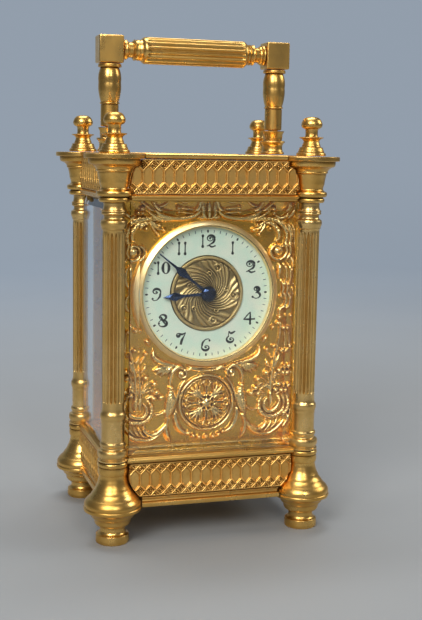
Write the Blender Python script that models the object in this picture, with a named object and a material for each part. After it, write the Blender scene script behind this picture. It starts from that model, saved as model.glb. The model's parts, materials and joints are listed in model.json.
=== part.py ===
"""A brass carriage clock with corner columns, four bevelled glasses, a folding handle and its movement.

The origin is on the table under the middle of the case, +Z is up and the dial faces -Y.
Lengths are in millimetres here, and MM turns them into metres where a mesh is made or placed.
Left and right are as seen by someone who faces the dial.
"""
import math

import bmesh
import bpy

MM = 0.001
GAP = 0.3  # clearance between neighbouring pieces
CLEAR = 4.0  # how far a cutter runs past the wall that it cuts

# Case: the corner posts and the two outer planes of the panels between them
POST_X = 38.0
POST_Y = 29.8
SIDE_FACE = 40.5
FRONT_FACE = 32.9
PANEL = 3.0
ROUND_STEPS = 16

# Case: the levels, from the table up
PLINTH_LOW = 13.1
PLINTH_TOP = 17.1
SILL_LOW = 30.3
SILL_TOP = 32.4
RAIL_LOW = 128.0
RAIL_TOP = 130.3
CROWN_LOW = 143.2
CROWN_TOP = 145.0

# Turned corner posts: (radius, height) from the bottom up
FOOT = (
    (6.2, 0.0),
    (6.2, 3.4),
    (4.75, 5.0),
    (4.75, 6.4),
    (7.9, 10.0),
    (10.83, 12.75),
    (10.83, 14.6),
    (7.7, 19.4),
    (5.9, 23.5),
    (5.14, 26.4),
    (5.67, 28.0),
    (5.67, 31.0),
)
COLUMN = (
    (5.66, 31.3),
    (5.45, 35.5),
    (4.5, 37.5),
    (4.32, 45.6),
    (4.65, 47.4),
    (4.65, 49.6),
    (4.1, 52.8),
    (4.1, 116.9),
    (4.7, 118.7),
    (4.7, 120.9),
    (3.74, 122.2),
    (4.5, 123.1),
    (4.5, 124.5),
    (3.85, 127.2),
)
CAPITAL = (
    (5.45, 127.5),
    (5.45, 129.1),
    (6.35, 129.7),
    (6.35, 131.5),
    (4.92, 132.6),
    (6.04, 138.0),
    (6.53, 139.1),
    (8.66, 140.9),
    (9.43, 142.7),
    (11.0, 143.1),
    (11.0, 144.8),
)
FINIAL = (
    (5.6, 145.1),
    (5.35, 146.2),
    (4.55, 147.5),
    (2.93, 150.4),
    (4.6, 151.9),
    (2.35, 152.3),
    (2.35, 154.6),
    (4.0, 157.0),
    (3.2, 158.6),
    (0.0, 159.4),
)

# Glasses
GLASS = 2.5
BEVEL_WIDTH = 3.3
BEVEL_DEPTH = 1.2
GLASS_SETBACK = 1.0
TOP_OPENING_X = 24.0
TOP_OPENING_Y = 17.3
TOP_OVERLAP = 1.2
TOP_GLASS_LOW = 140.9

# Inner edges of the frame over the glasses
RAIL_OPENING_X = 31.0
RAIL_OPENING_Y = 22.5

# Back door, hung on two pins near the back left column as seen from the front
DOOR_HALF = 31.4
DOOR_INNER = 29.0
DOOR_OUTER = 32.0
DOOR_HINGE_X = -29.9
DOOR_HINGE_Y = 30.5
DOOR_LOW = SILL_TOP + 0.4
DOOR_TOP = RAIL_LOW - 0.4
DOOR_STILE = 4.5
DOOR_REBATE = 1.3
DOOR_REBATE_DEPTH = 2.0
DOOR_GLASS = 1.6
DOOR_GLASS_OUTER = DOOR_INNER + 1.7
PIN_RADIUS = 0.8
PIN_REACH = 1.6
KNOB_X = 29.6
KNOB_Z = 83.0
KNOB_HOLE = 1.1
KNOB = (
    (0.8, 29.4),
    (0.8, 32.3),
    (1.9, 32.4),
    (1.2, 33.2),
    (1.2, 34.2),
    (2.6, 35.2),
    (2.2, 36.8),
    (0.0, 37.2),
)

# Carrying handle
LEG_X = 33.4
PIVOT_Z = 152.5
TONGUE_HALF = 1.2
TONGUE_TOP = 3.0
KNUCKLE = 2.2
CHEEK = 2.0
CHEEK_HALF = 3.4
CUP_CUT = -0.6  # the cup is cut away behind this plane so that the leg can fold back
BED_LOW = (-3.2, -1.9, -2.3)
BED_HIGH = (3.2, 1.9, -0.2)
STUD = ((4.65, 145.3), (4.65, 146.2), (3.95, 147.9), (4.9, 150.2), (4.9, 150.6))
CUP = ((3.5, 150.3), (3.6, 151.1), (4.55, 154.3), (4.55, 154.5))
LEG = (
    (3.1, 154.8),
    (3.45, 155.3),
    (3.45, 163.3),
    (4.1, 167.0),
    (4.3, 171.5),
    (3.65, 176.9),
    (4.4, 177.3),
    (4.4, 178.4),
)
BLOCK_X = 33.5
BLOCK_HALF_X = 4.75
BLOCK_HALF_Y = 4.3
BLOCK_LOW = 178.7
BLOCK_TOP = 189.0
BLOCK_BEVEL = 0.5
GRIP_Z = 183.9
GRIP = ((3.85, 28.45), (3.85, 27.2), (2.9, 26.2), (2.9, 24.6), (4.0, 24.0), (4.0, 22.4), (5.1, 19.5))

# Dial, counted forward from the middle of the case towards the viewer
DIAL_Z = 92.4
MASK_HALF = 36.6
MASK_BACK = 21.6
MASK_FRONT = 23.4
BEZEL_RADIUS = 27.9
BEZEL = (
    (27.2, 19.4),
    (BEZEL_RADIUS, 19.4),
    (BEZEL_RADIUS, 24.2),
    (27.2, 24.8),
    (25.4, 22.8),
    (25.4, 21.7),
    (27.2, 21.7),
)
RING_INNER = 14.6
RING_OUTER = 26.9
RING_FORWARD = (20.3, 21.4)
DIAL_CENTRE = (
    (1.9, 19.2),
    (26.9, 19.2),
    (26.9, 20.0),
    (14.3, 20.0),
    (14.3, 21.9),
    (14.1, 22.1),
    (13.2, 22.1),
    (13.0, 21.7),
    (1.9, 21.7),
)
DIAL_STEPS = 40
HOUR_ANGLE = math.radians(265.8)
MINUTE_ANGLE = math.radians(309.0)
HAND_THICKNESS = 0.4
HOUR_LEVEL = 22.6
MINUTE_LEVEL = 23.6
HOUR_PIPE = ((1.05, 18.9), (1.6, 18.9), (1.6, 22.5), (2.6, 22.5), (2.6, 23.1), (1.05, 23.1))
MINUTE_CAP = ((3.0, 23.4), (3.0, 24.2), (2.2, 24.8), (0.0, 25.1))
HOUR_HAND = ((2.2, 0.75), (9.0, 0.45), (11.2, 0.8), (13.0, 1.6), (14.6, 1.15), (17.5, 0.12))
MINUTE_HAND = ((2.6, 0.8), (9.6, 0.5), (13.6, 1.7), (16.4, 0.45), (25.0, 0.1))

# Movement, also counted forward
PLATE_HALF = 25.0
PLATE_FOOT = 8.0
PLATE_ARCH = 38.0
PLATE_TOP = 124.0
FRONT_PLATE = (16.5, 18.5)
BACK_PLATE = (-16.0, -14.0)
PILLAR_X = 21.5
PILLAR_Z = (45.0, 118.5)
PILLAR_RADIUS = 2.0
PILLAR_INSET = 1.0
PIVOT_STEPS = 10
ARBOR = 0.6
CENTRE_ARBOR = 0.7
WINDING_ARBOR = 2.0
WINDING_PIVOT = 1.2
ARBOR_BACK = -15.6
ARBOR_FRONT = 18.0
CENTRE_ARBOR_FRONT = 23.1
WHEEL_STEPS = 24

# Going train: tooth counts and modules set the distances between the arbors
BARREL_TEETH, CENTRE_PINION, BARREL_MODULE = 96, 10, 0.42
CENTRE_TEETH, THIRD_PINION, CENTRE_MODULE = 80, 10, 0.30
THIRD_TEETH, CONTRATE_PINION, THIRD_MODULE = 75, 10, 0.25
CONTRATE_RADIUS = 8.0
BARREL_Z = DIAL_Z - BARREL_MODULE * (BARREL_TEETH + CENTRE_PINION) / 2
THIRD_X = 7.0
CENTRE_TO_THIRD = CENTRE_MODULE * (CENTRE_TEETH + THIRD_PINION) / 2
THIRD_TO_CONTRATE = THIRD_MODULE * (THIRD_TEETH + CONTRATE_PINION) / 2
THIRD_Z = DIAL_Z + math.sqrt(CENTRE_TO_THIRD**2 - THIRD_X**2)
CONTRATE_Z = THIRD_Z + math.sqrt(THIRD_TO_CONTRATE**2 - THIRD_X**2)
TIP_CLEARANCE = 0.3

# Where the train's discs lie, counted forward
BARREL_DRUM = (-8.0, 5.8)
GREAT_WHEEL_TOP = 8.0
GREAT_WHEEL_LIP = 0.7
CENTRE_PINION_SPAN = (5.0, 8.5)
CENTRE_WHEEL_SPAN = (11.6, 12.6)
THIRD_PINION_SPAN = (10.6, 13.6)
THIRD_WHEEL_SPAN = (-5.0, -4.0)
CONTRATE_PINION_SPAN = (-6.5, -3.0)
CONTRATE_BACK = -9.8
CONTRATE_WEB = -9.0
CONTRATE_CROWN = -7.6
CROWN_WALL = 0.8

# Winding arbor: the ratchet wheel and the square behind the back plate
RATCHET_RADIUS = 7.0
RATCHET_SPAN = (-17.8, -16.4)
SQUARE_HALF = 1.5
SQUARE_END = -24.5
SQUARE_ROOT = -17.0
WINDING_SHOULDER = 16.2
WINDING_END = 18.2

# Escapement platform on top of the plates
PLATFORM_HALF_X = 15.0
PLATFORM_Y = (-18.0, 15.5)
PLATFORM_Z = (124.4, 126.0)
PLATFORM_HOLE = 1.2
STAFF = 0.5
ESCAPE_Y = 6.2
ESCAPE_ARBOR = (117.2, 129.2)
ESCAPE_PINION_RADIUS = 0.7
ESCAPE_PINION = (117.5, 120.0)
ESCAPE_RADIUS = 4.0
ESCAPE_WHEEL = (127.2, 127.8)
ESCAPE_TEETH = 15
LEVER_Y = 0.8
LEVER_Z = (128.3, 129.1)
LEVER_ARBOR_RADIUS = 0.4
LEVER_ARBOR = (126.3, 130.0)
LEVER = (
    (-0.45, -3.4),
    (0.45, -3.4),
    (0.45, -0.5),
    (3.4, 0.6),
    (3.1, 1.6),
    (0.0, 0.7),
    (-3.1, 1.6),
    (-3.4, 0.6),
    (-0.45, -0.5),
)
BALANCE_Y = -5.0
BALANCE_RADIUS = 8.0
BALANCE_RIM = 1.1
BALANCE_Z = (131.0, 132.0)
BALANCE_ARM_HALF = 0.6
BALANCE_ARM_Z = (131.2, 131.8)
BALANCE_STAFF = (
    (STAFF, 126.3),
    (STAFF, 129.5),
    (1.5, 129.5),
    (1.5, 130.1),
    (STAFF, 130.1),
    (STAFF, 133.6),
)
COCK_FOOT_LOW = (-14.5, -17.0, 126.3)
COCK_FOOT_HIGH = (-9.8, -12.4, 135.2)
COCK_ARM = ((-14.5, -14.0), (-11.5, -17.0), (2.2, -5.6), (1.6, -3.0), (-1.2, -3.0))
COCK_ARM_Z = (133.9, 135.0)

BRASS = (0.80, 0.55, 0.22)
GILT = (0.86, 0.58, 0.20)
STEEL = (0.55, 0.56, 0.58)
BLUED = (0.03, 0.05, 0.14)


def clear_scene():
    for obj in list(bpy.data.objects):
        bpy.data.objects.remove(obj)


def material(name, colour, roughness, metallic, transmission=0.0):
    """One Principled material, made once and then shared by the pieces that name it."""
    made = bpy.data.materials.get(name)
    if made:
        return made
    made = bpy.data.materials.new(name)
    made.use_nodes = True
    shader = made.node_tree.nodes["Principled BSDF"]
    shader.inputs["Base Color"].default_value = (*colour, 1.0)
    shader.inputs["Roughness"].default_value = roughness
    shader.inputs["Metallic"].default_value = metallic
    shader.inputs["Transmission Weight"].default_value = transmission
    return made


def brass():
    return material("satin_brass", BRASS, 0.3, 1.0)


def gilt():
    return material("gilt_relief", GILT, 0.35, 1.0)


def movement_brass():
    return material("movement_brass", (0.75, 0.58, 0.28), 0.35, 1.0)


def steel():
    return material("polished_steel", STEEL, 0.25, 1.0)


def blued_steel():
    return material("blued_steel", BLUED, 0.25, 1.0)


def glass():
    return material("bevelled_glass", (0.95, 0.98, 0.98), 0.03, 0.0, 1.0)


def enamel():
    return material("white_enamel", (0.80, 0.87, 0.83), 0.15, 0.0)


# Mesh helpers: each returns a bmesh in metres


def scaled(point):
    return tuple(value * MM for value in point)


def ring_of(bm, radius, height, steps):
    """A ring of vertices round Z, or the single vertex that it shrinks to on the axis."""
    if radius == 0:
        return [bm.verts.new(scaled((0, 0, height)))]
    turn = 2 * math.pi / steps
    return [
        bm.verts.new(scaled((radius * math.cos(k * turn), radius * math.sin(k * turn), height)))
        for k in range(steps)
    ]


def skin(bm, lower, upper):
    """Faces between two rings, either of which may be a single vertex."""
    steps = max(len(lower), len(upper))
    for k in range(steps):
        after = (k + 1) % steps
        corners = [lower[k % len(lower)], lower[after % len(lower)]]
        corners += [upper[after % len(upper)], upper[k % len(upper)]]
        bm.faces.new(list(dict.fromkeys(corners)))


def lathe(profile, steps=ROUND_STEPS, tube=False):
    """A solid turned round Z from (radius, height) points. A tube's profile closes on itself."""
    bm = bmesh.new()
    rings = [ring_of(bm, radius, height, steps) for radius, height in profile]
    for lower, upper in zip(rings, rings[1:]):
        skin(bm, lower, upper)
    if tube:
        skin(bm, rings[-1], rings[0])
    else:
        for ring in (rings[0], rings[-1]):
            if len(ring) > 1:
                bm.faces.new(ring)
    bmesh.ops.recalc_face_normals(bm, faces=bm.faces)
    return bm


def cylinder(radius, low, high, steps=ROUND_STEPS):
    return lathe(((radius, low), (radius, high)), steps)


def annulus(inner, outer, low, high, steps=ROUND_STEPS):
    return lathe(((inner, low), (outer, low), (outer, high), (inner, high)), steps, tube=True)


def prism(outline, low, high, axis):
    """The outline pushed from low to high along an axis: (y, z) along X, (x, z) along Y, (x, y) along Z."""
    place = {
        "X": lambda a, b, depth: (depth, a, b),
        "Y": lambda a, b, depth: (a, depth, b),
        "Z": lambda a, b, depth: (a, b, depth),
    }[axis]
    bm = bmesh.new()
    ends = [[bm.verts.new(scaled(place(a, b, depth))) for a, b in outline] for depth in (low, high)]
    skin(bm, *ends)
    for end in ends:
        bm.faces.new(end)
    bmesh.ops.recalc_face_normals(bm, faces=bm.faces)
    return bm


def rectangle(half_a, half_b):
    return [(-half_a, -half_b), (half_a, -half_b), (half_a, half_b), (-half_a, half_b)]


def box(low, high):
    outline = [(low[0], low[1]), (high[0], low[1]), (high[0], high[1]), (low[0], high[1])]
    return prism(outline, low[2], high[2], "Z")


# Object helpers


def add(name, bm, finish, at=(0, 0, 0), rotation=(0, 0, 0)):
    mesh = bpy.data.meshes.new(name)
    bm.to_mesh(mesh)
    bm.free()
    mesh.materials.append(finish)
    mesh.shade_smooth()
    mesh.set_sharp_from_angle(angle=math.radians(35))
    return add_copy(name, mesh, at, rotation)


def add_copy(name, mesh, at=(0, 0, 0), rotation=(0, 0, 0)):
    obj = bpy.data.objects.new(name, mesh)
    bpy.context.scene.collection.objects.link(obj)
    obj.location = scaled(at)
    obj.rotation_euler = rotation
    return obj


def add_facing(name, bm, finish, x, z):
    """A piece turned round Z is laid over so that its heights count forward, towards the viewer."""
    return add(name, bm, finish, (x, 0, z), (math.pi / 2, 0, 0))


def combine(obj, operation, bm, at=(0, 0, 0), rotation=(0, 0, 0)):
    """A Boolean with a helper solid that isn't part of the clock."""
    tag = f"{obj.name}_{operation.lower()}_{len(obj.modifiers)}"
    helper = add(tag, bm, obj.data.materials[0], at, rotation)
    helper.hide_render = True
    helper.display_type = "WIRE"
    modifier = obj.modifiers.new(tag, "BOOLEAN")
    modifier.operation = operation
    modifier.object = helper
    modifier.solver = "EXACT"


def drill(obj, radius, x, z, low, high, steps=ROUND_STEPS):
    """A hole that runs front to back, with its depths counted forward."""
    combine(obj, "DIFFERENCE", cylinder(radius, low, high, steps), (x, 0, z), (math.pi / 2, 0, 0))


# Case


def radius_at(profile, height):
    """The turned profile's radius at a height, along the straight line between its points."""
    for (r0, z0), (r1, z1) in zip(profile, profile[1:]):
        if z0 <= height <= z1:
            return r0 + (r1 - r0) * (height - z0) / (z1 - z0)
    raise ValueError(f"no profile at {height}")


def corners():
    """Each corner's name, with the signs of its x and y."""
    for depth, sign_y in (("front", -1), ("back", 1)):
        for side, sign_x in (("left", -1), ("right", 1)):
            yield f"{depth}_{side}", sign_x, sign_y


def corner_posts():
    """The four feet, columns, capitals and finials share one mesh of each kind."""
    kinds = (("foot", FOOT), ("column", COLUMN), ("capital", CAPITAL), ("finial", FINIAL))
    for kind, profile in kinds:
        mesh = None
        for corner, sign_x, sign_y in corners():
            at = (sign_x * POST_X, sign_y * POST_Y, 0)
            if mesh:
                add_copy(f"{kind}_{corner}", mesh, at)
            else:
                mesh = add(f"{kind}_{corner}", lathe(profile), brass(), at).data


def corner_arc(sign_x, sign_y, radius, points=6):
    """The notch round a post, from the long panel's plane to the side panel's plane."""
    start = math.asin((FRONT_FACE - POST_Y) / radius)
    end = math.pi / 2 + math.asin((SIDE_FACE - POST_X) / radius)
    arc = []
    for k in range(points):
        angle = -start + (end + start) * k / (points - 1)
        arc.append((
            sign_x * (POST_X - radius * math.cos(angle)),
            sign_y * (POST_Y - radius * math.sin(angle)),
        ))
    return arc


def notched_outline(radius):
    """The case's plan, with a round notch for the post at each corner."""
    outline = corner_arc(-1, -1, radius)[::-1] + corner_arc(1, -1, radius)
    return outline + corner_arc(1, 1, radius)[::-1] + corner_arc(-1, 1, radius)


def notch_round(profile, low, high):
    """The notch radius that clears a post's profile between two heights."""
    heights = [low, high] + [z for _, z in profile if low < z < high]
    return max(radius_at(profile, z) for z in heights) + GAP


def plinth():
    outline = notched_outline(notch_round(FOOT, PLINTH_LOW, PLINTH_TOP))
    add("base_plate", prism(outline, PLINTH_LOW, PLINTH_TOP, "Z"), brass())


def sill():
    """The sill is also the floor that the movement stands on, with the door's lower pin hole."""
    outline = notched_outline(COLUMN[0][0] + GAP)
    plate = add("base_sill", prism(outline, SILL_LOW, SILL_TOP, "Z"), brass())
    hole = cylinder(PIN_RADIUS + GAP, SILL_LOW - CLEAR, SILL_TOP + CLEAR)
    combine(plate, "DIFFERENCE", hole, (DOOR_HINGE_X, DOOR_HINGE_Y, 0))


def top_rail():
    """The frame over the glasses, with the door's upper pin hole."""
    outline = notched_outline(notch_round(CAPITAL, RAIL_LOW, RAIL_TOP))
    rail = add("top_rail", prism(outline, RAIL_LOW, RAIL_TOP, "Z"), brass())
    opening = prism(rectangle(RAIL_OPENING_X, RAIL_OPENING_Y), RAIL_LOW - CLEAR, RAIL_TOP + CLEAR, "Z")
    combine(rail, "DIFFERENCE", opening)
    hole = cylinder(PIN_RADIUS + GAP, RAIL_LOW - CLEAR, RAIL_TOP + CLEAR)
    combine(rail, "DIFFERENCE", hole, (DOOR_HINGE_X, DOOR_HINGE_Y, 0))


def top_frame():
    outline = notched_outline(CAPITAL[-1][0] + GAP)
    frame = add("top_frame", prism(outline, CROWN_LOW, CROWN_TOP, "Z"), brass())
    opening = prism(rectangle(TOP_OPENING_X, TOP_OPENING_Y), CROWN_LOW - CLEAR, CROWN_TOP + CLEAR, "Z")
    combine(frame, "DIFFERENCE", opening)


def panel_outline(half_pitch, profile, low, high):
    """A frieze panel whose ends follow the posts on both sides."""
    heights = [low] + [z for _, z in profile if low + GAP < z < high - GAP] + [high]
    edge = [(half_pitch - radius_at(profile, z) - GAP, z) for z in heights]
    return edge + [(-along, z) for along, z in reversed(edge)]


def friezes():
    """Four panels above the plinth and four under the crown."""
    rows = (
        ("base", FOOT, PLINTH_TOP + GAP, SILL_LOW - GAP),
        ("top", CAPITAL, RAIL_TOP + GAP, CROWN_LOW - GAP),
    )
    for row, profile, low, high in rows:
        long_side = panel_outline(POST_X, profile, low, high)
        short_side = panel_outline(POST_Y, profile, low, high)
        for name, sign in (("front", -1), ("back", 1)):
            planes = sorted((sign * FRONT_FACE, sign * (FRONT_FACE - PANEL)))
            add(f"{row}_frieze_{name}", prism(long_side, *planes, "Y"), gilt())
        for name, sign in (("left", -1), ("right", 1)):
            planes = sorted((sign * SIDE_FACE, sign * (SIDE_FACE - PANEL)))
            add(f"{row}_frieze_{name}", prism(short_side, *planes, "X"), gilt())


def bevelled_pane(half_a, half_b, thickness):
    """A pane lying on Z = 0 whose top face is bevelled all round."""
    bm = bmesh.new()
    levels = (
        (half_a, half_b, 0.0),
        (half_a, half_b, thickness - BEVEL_DEPTH),
        (half_a - BEVEL_WIDTH, half_b - BEVEL_WIDTH, thickness),
    )
    rings = [
        [bm.verts.new(scaled((a, b, height))) for a, b in rectangle(half_long, half_short)]
        for half_long, half_short, height in levels
    ]
    for lower, upper in zip(rings, rings[1:]):
        skin(bm, lower, upper)
    bm.faces.new(rings[0])
    bm.faces.new(rings[-1])
    bmesh.ops.recalc_face_normals(bm, faces=bm.faces)
    return bm


def glasses():
    """Front, side and top glasses, each with its bevelled face outwards."""
    column_foot = COLUMN[0][0] + GAP
    height = RAIL_LOW - SILL_TOP - 2 * GAP
    middle = (RAIL_LOW + SILL_TOP) / 2
    upright = math.pi / 2
    front = bevelled_pane(POST_X - column_foot, height / 2, GLASS)
    front_back_face = FRONT_FACE - GLASS_SETBACK - GLASS
    add("glass_front", front, glass(), (0, -front_back_face, middle), (upright, 0, 0))
    inner_face = SIDE_FACE - GLASS_SETBACK - GLASS
    for name, sign in (("left", -1), ("right", 1)):
        side = bevelled_pane(POST_Y - column_foot, height / 2, GLASS)
        turn = (upright, 0, sign * upright)
        add(f"glass_{name}", side, glass(), (sign * inner_face, 0, middle), turn)
    top = bevelled_pane(TOP_OPENING_X + TOP_OVERLAP, TOP_OPENING_Y + TOP_OVERLAP, GLASS)
    add("glass_top", top, glass(), (0, 0, TOP_GLASS_LOW))


def door_frame():
    """The door's origin is on its hinge pins."""
    low, high = DOOR_LOW, DOOR_TOP
    x0 = -DOOR_HALF - DOOR_HINGE_X
    x1 = DOOR_HALF - DOOR_HINGE_X
    y0 = DOOR_INNER - DOOR_HINGE_Y
    y1 = DOOR_OUTER - DOOR_HINGE_Y
    at = (DOOR_HINGE_X, DOOR_HINGE_Y, 0)
    frame = add("back_door_frame", box((x0, y0, low), (x1, y1, high)), brass(), at)
    inset = DOOR_STILE
    opening = box((x0 + inset, y0 - CLEAR, low + inset), (x1 - inset, y1 + CLEAR, high - inset))
    combine(frame, "DIFFERENCE", opening, at)
    inset = DOOR_STILE - DOOR_REBATE
    rebate = box((x0 + inset, y0 - CLEAR, low + inset), (x1 - inset, y0 + DOOR_REBATE_DEPTH, high - inset))
    combine(frame, "DIFFERENCE", rebate, at)
    for end in (low, high):
        combine(frame, "UNION", cylinder(PIN_RADIUS, end - PIN_REACH, end + PIN_REACH), at)
    drill(frame, KNOB_HOLE, KNOB_X, KNOB_Z, -DOOR_OUTER - CLEAR, -DOOR_INNER + CLEAR)


def door():
    door_frame()
    inset = DOOR_STILE - DOOR_REBATE + GAP
    half_height = (DOOR_TOP - DOOR_LOW) / 2 - inset
    middle = (DOOR_TOP + DOOR_LOW) / 2
    pane = prism(rectangle(DOOR_HALF - inset, half_height), 0.0, DOOR_GLASS, "Z")
    add("back_door_glass", pane, glass(), (0, DOOR_GLASS_OUTER, middle), (math.pi / 2, 0, 0))
    add("back_door_knob", lathe(KNOB, 12), brass(), (KNOB_X, 0, KNOB_Z), (-math.pi / 2, 0, 0))


# Carrying handle, which folds backwards about a pin in each base stud


def handle_base(name, x):
    """A stud and the front half of a cup, with a slot and a cross pin for the leg's tongue."""
    at = (x, 0, 0)
    pivot = (x, 0, PIVOT_Z)
    sideways = (0, math.pi / 2, 0)
    base = add(name, lathe(STUD), brass(), at)
    cup = lathe(CUP)
    bmesh.ops.bisect_plane(
        cup,
        geom=cup.verts[:] + cup.edges[:] + cup.faces[:],
        plane_co=scaled((0, CUP_CUT, 0)),
        plane_no=(0, 1, 0),
        clear_outer=True,
    )
    bmesh.ops.holes_fill(cup, edges=[edge for edge in cup.edges if edge.is_boundary])
    bmesh.ops.recalc_face_normals(cup, faces=cup.faces)
    combine(base, "UNION", cup, at)
    combine(base, "UNION", cylinder(CHEEK, -CHEEK_HALF, CHEEK_HALF), pivot, sideways)
    combine(base, "UNION", box(BED_LOW, BED_HIGH), pivot)
    slot = TONGUE_HALF + GAP
    slot_low = (-slot, -KNUCKLE - GAP, -KNUCKLE - GAP)
    combine(base, "DIFFERENCE", box(slot_low, (slot, CUP[-1][0] + CLEAR, CLEAR)), pivot)
    combine(base, "UNION", cylinder(PIN_RADIUS, -slot - 0.5, slot + 0.5), pivot, sideways)


def handle_leg(name, x):
    """A turned leg whose flat tongue holds the pin. Its origin is on the pin."""
    pivot = (x, 0, PIVOT_Z)
    sideways = (0, math.pi / 2, 0)
    profile = [(radius, height - PIVOT_Z) for radius, height in LEG]
    leg = add(name, lathe(profile), brass(), pivot)
    tongue = box((-TONGUE_HALF, -KNUCKLE, 0), (TONGUE_HALF, KNUCKLE, TONGUE_TOP))
    combine(leg, "UNION", tongue, pivot)
    combine(leg, "UNION", cylinder(KNUCKLE, -TONGUE_HALF, TONGUE_HALF), pivot, sideways)
    combine(leg, "DIFFERENCE", cylinder(PIN_RADIUS + 0.25, -CLEAR, CLEAR), pivot, sideways)


def handle_block(name, x):
    half = (BLOCK_TOP - BLOCK_LOW) / 2
    middle = (BLOCK_TOP + BLOCK_LOW) / 2 - PIVOT_Z
    low = (-BLOCK_HALF_X, -BLOCK_HALF_Y, middle - half)
    high = (BLOCK_HALF_X, BLOCK_HALF_Y, middle + half)
    block = add(name, box(low, high), brass(), (x, 0, PIVOT_Z))
    bevel = block.modifiers.new("soft_edges", "BEVEL")
    bevel.width = BLOCK_BEVEL * MM
    bevel.segments = 1


def handle():
    for side, sign in (("left", -1), ("right", 1)):
        handle_base(f"handle_base_{side}", sign * LEG_X)
        handle_leg(f"handle_leg_{side}", sign * LEG_X)
        handle_block(f"handle_block_{side}", sign * BLOCK_X)
    profile = [(radius, -along) for radius, along in GRIP]
    profile += [(radius, along) for radius, along in reversed(GRIP)]
    add("handle_grip", lathe(profile), brass(), (0, 0, GRIP_Z), (0, math.pi / 2, 0))


# Dial


def dial():
    """The mask, its bezel, the enamel ring and the centre with the plate that carries them."""
    low, high = SILL_TOP + GAP, RAIL_LOW - GAP
    outline = [(-MASK_HALF, low), (MASK_HALF, low), (MASK_HALF, high), (-MASK_HALF, high)]
    mask = add("dial_mask", prism(outline, -MASK_FRONT, -MASK_BACK, "Y"), gilt())
    hole = BEZEL_RADIUS + GAP
    drill(mask, hole, 0, DIAL_Z, MASK_BACK - CLEAR, MASK_FRONT + CLEAR, DIAL_STEPS)
    add_facing("dial_bezel", lathe(BEZEL, DIAL_STEPS, tube=True), gilt(), 0, DIAL_Z)
    ring = annulus(RING_INNER, RING_OUTER, *RING_FORWARD, DIAL_STEPS)
    add_facing("chapter_ring", ring, enamel(), 0, DIAL_Z)
    add_facing("dial_centre", lathe(DIAL_CENTRE, DIAL_STEPS, tube=True), gilt(), 0, DIAL_Z)


def hand_outline(shape):
    """Half widths at radii, mirrored into a pointer that stands upright from its hub."""
    right = [(half, radius) for radius, half in shape]
    return [(-half, radius) for half, radius in right] + right[::-1]


def add_hand(name, hub, shape, level, angle):
    """A hand with its origin on the dial's axis. It points up before it is turned clockwise."""
    hand = add_facing(name, hub, blued_steel(), 0, DIAL_Z)
    blade = prism(hand_outline(shape), -level - HAND_THICKNESS, -level, "Y")
    combine(hand, "UNION", blade, (0, 0, DIAL_Z), (0, angle, 0))


def hands():
    pipe = lathe(HOUR_PIPE, ROUND_STEPS, tube=True)
    add_hand("hour_hand", pipe, HOUR_HAND, HOUR_LEVEL, HOUR_ANGLE)
    add_hand("minute_hand", lathe(MINUTE_CAP), MINUTE_HAND, MINUTE_LEVEL, MINUTE_ANGLE)


# Movement


def plate_outline():
    """A movement plate that stands on the sill with two feet."""
    right = [
        (PLATE_HALF - PLATE_FOOT, PLATE_ARCH),
        (PLATE_HALF - PLATE_FOOT, SILL_TOP + GAP),
        (PLATE_HALF, SILL_TOP + GAP),
        (PLATE_HALF, PLATE_TOP),
    ]
    return right + [(-x, z) for x, z in reversed(right)]


def movement_plates():
    """Two plates. The back one carries the pillars, and both are drilled for the arbors."""
    back = prism(plate_outline(), -BACK_PLATE[1], -BACK_PLATE[0], "Y")
    front = prism(plate_outline(), -FRONT_PLATE[1], -FRONT_PLATE[0], "Y")
    plates = (
        (add("movement_back_plate", back, movement_brass()), BACK_PLATE, WINDING_ARBOR),
        (add("movement_front_plate", front, movement_brass()), FRONT_PLATE, WINDING_PIVOT),
    )
    for plate, (low, high), winding in plates:
        depths = (low - CLEAR, high + CLEAR)
        drill(plate, winding + GAP, 0, BARREL_Z, *depths)
        drill(plate, CENTRE_ARBOR + GAP, 0, DIAL_Z, *depths, PIVOT_STEPS)
        drill(plate, ARBOR + GAP, THIRD_X, THIRD_Z, *depths, PIVOT_STEPS)
        drill(plate, ARBOR + GAP, 0, CONTRATE_Z, *depths, PIVOT_STEPS)
    back_plate = plates[0][0]
    for x in (-PILLAR_X, PILLAR_X):
        for z in PILLAR_Z:
            pillar = cylinder(PILLAR_RADIUS, BACK_PLATE[1] - PILLAR_INSET, FRONT_PLATE[0] - GAP)
            combine(back_plate, "UNION", pillar, (x, 0, z), (math.pi / 2, 0, 0))


def barrel():
    """The mainspring barrel, with its great wheel as the front rim."""
    rim = BARREL_MODULE * BARREL_TEETH / 2 - TIP_CLEARANCE
    drum = rim - GREAT_WHEEL_LIP
    hole = WINDING_ARBOR + GAP
    low, high = BARREL_DRUM
    profile = (
        (hole, low),
        (drum, low),
        (drum, high),
        (rim, high),
        (rim, GREAT_WHEEL_TOP),
        (hole, GREAT_WHEEL_TOP),
    )
    add_facing("mainspring_barrel", lathe(profile, WHEEL_STEPS, tube=True), movement_brass(), 0, BARREL_Z)


def winding_arbor():
    """The barrel arbor: a ratchet wheel and a winding square stand out behind the back plate."""
    low, high = RATCHET_SPAN
    profile = (
        (SQUARE_HALF, low),
        (RATCHET_RADIUS, low),
        (RATCHET_RADIUS, high),
        (WINDING_ARBOR, high),
        (WINDING_ARBOR, WINDING_SHOULDER),
        (WINDING_PIVOT, WINDING_SHOULDER),
        (WINDING_PIVOT, WINDING_END),
    )
    arbor = add_facing("winding_arbor", lathe(profile), steel(), 0, BARREL_Z)
    side = SQUARE_HALF
    square = box((-side, -side, SQUARE_END), (side, side, SQUARE_ROOT))
    combine(arbor, "UNION", square, (0, 0, BARREL_Z), (math.pi / 2, 0, 0))


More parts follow.
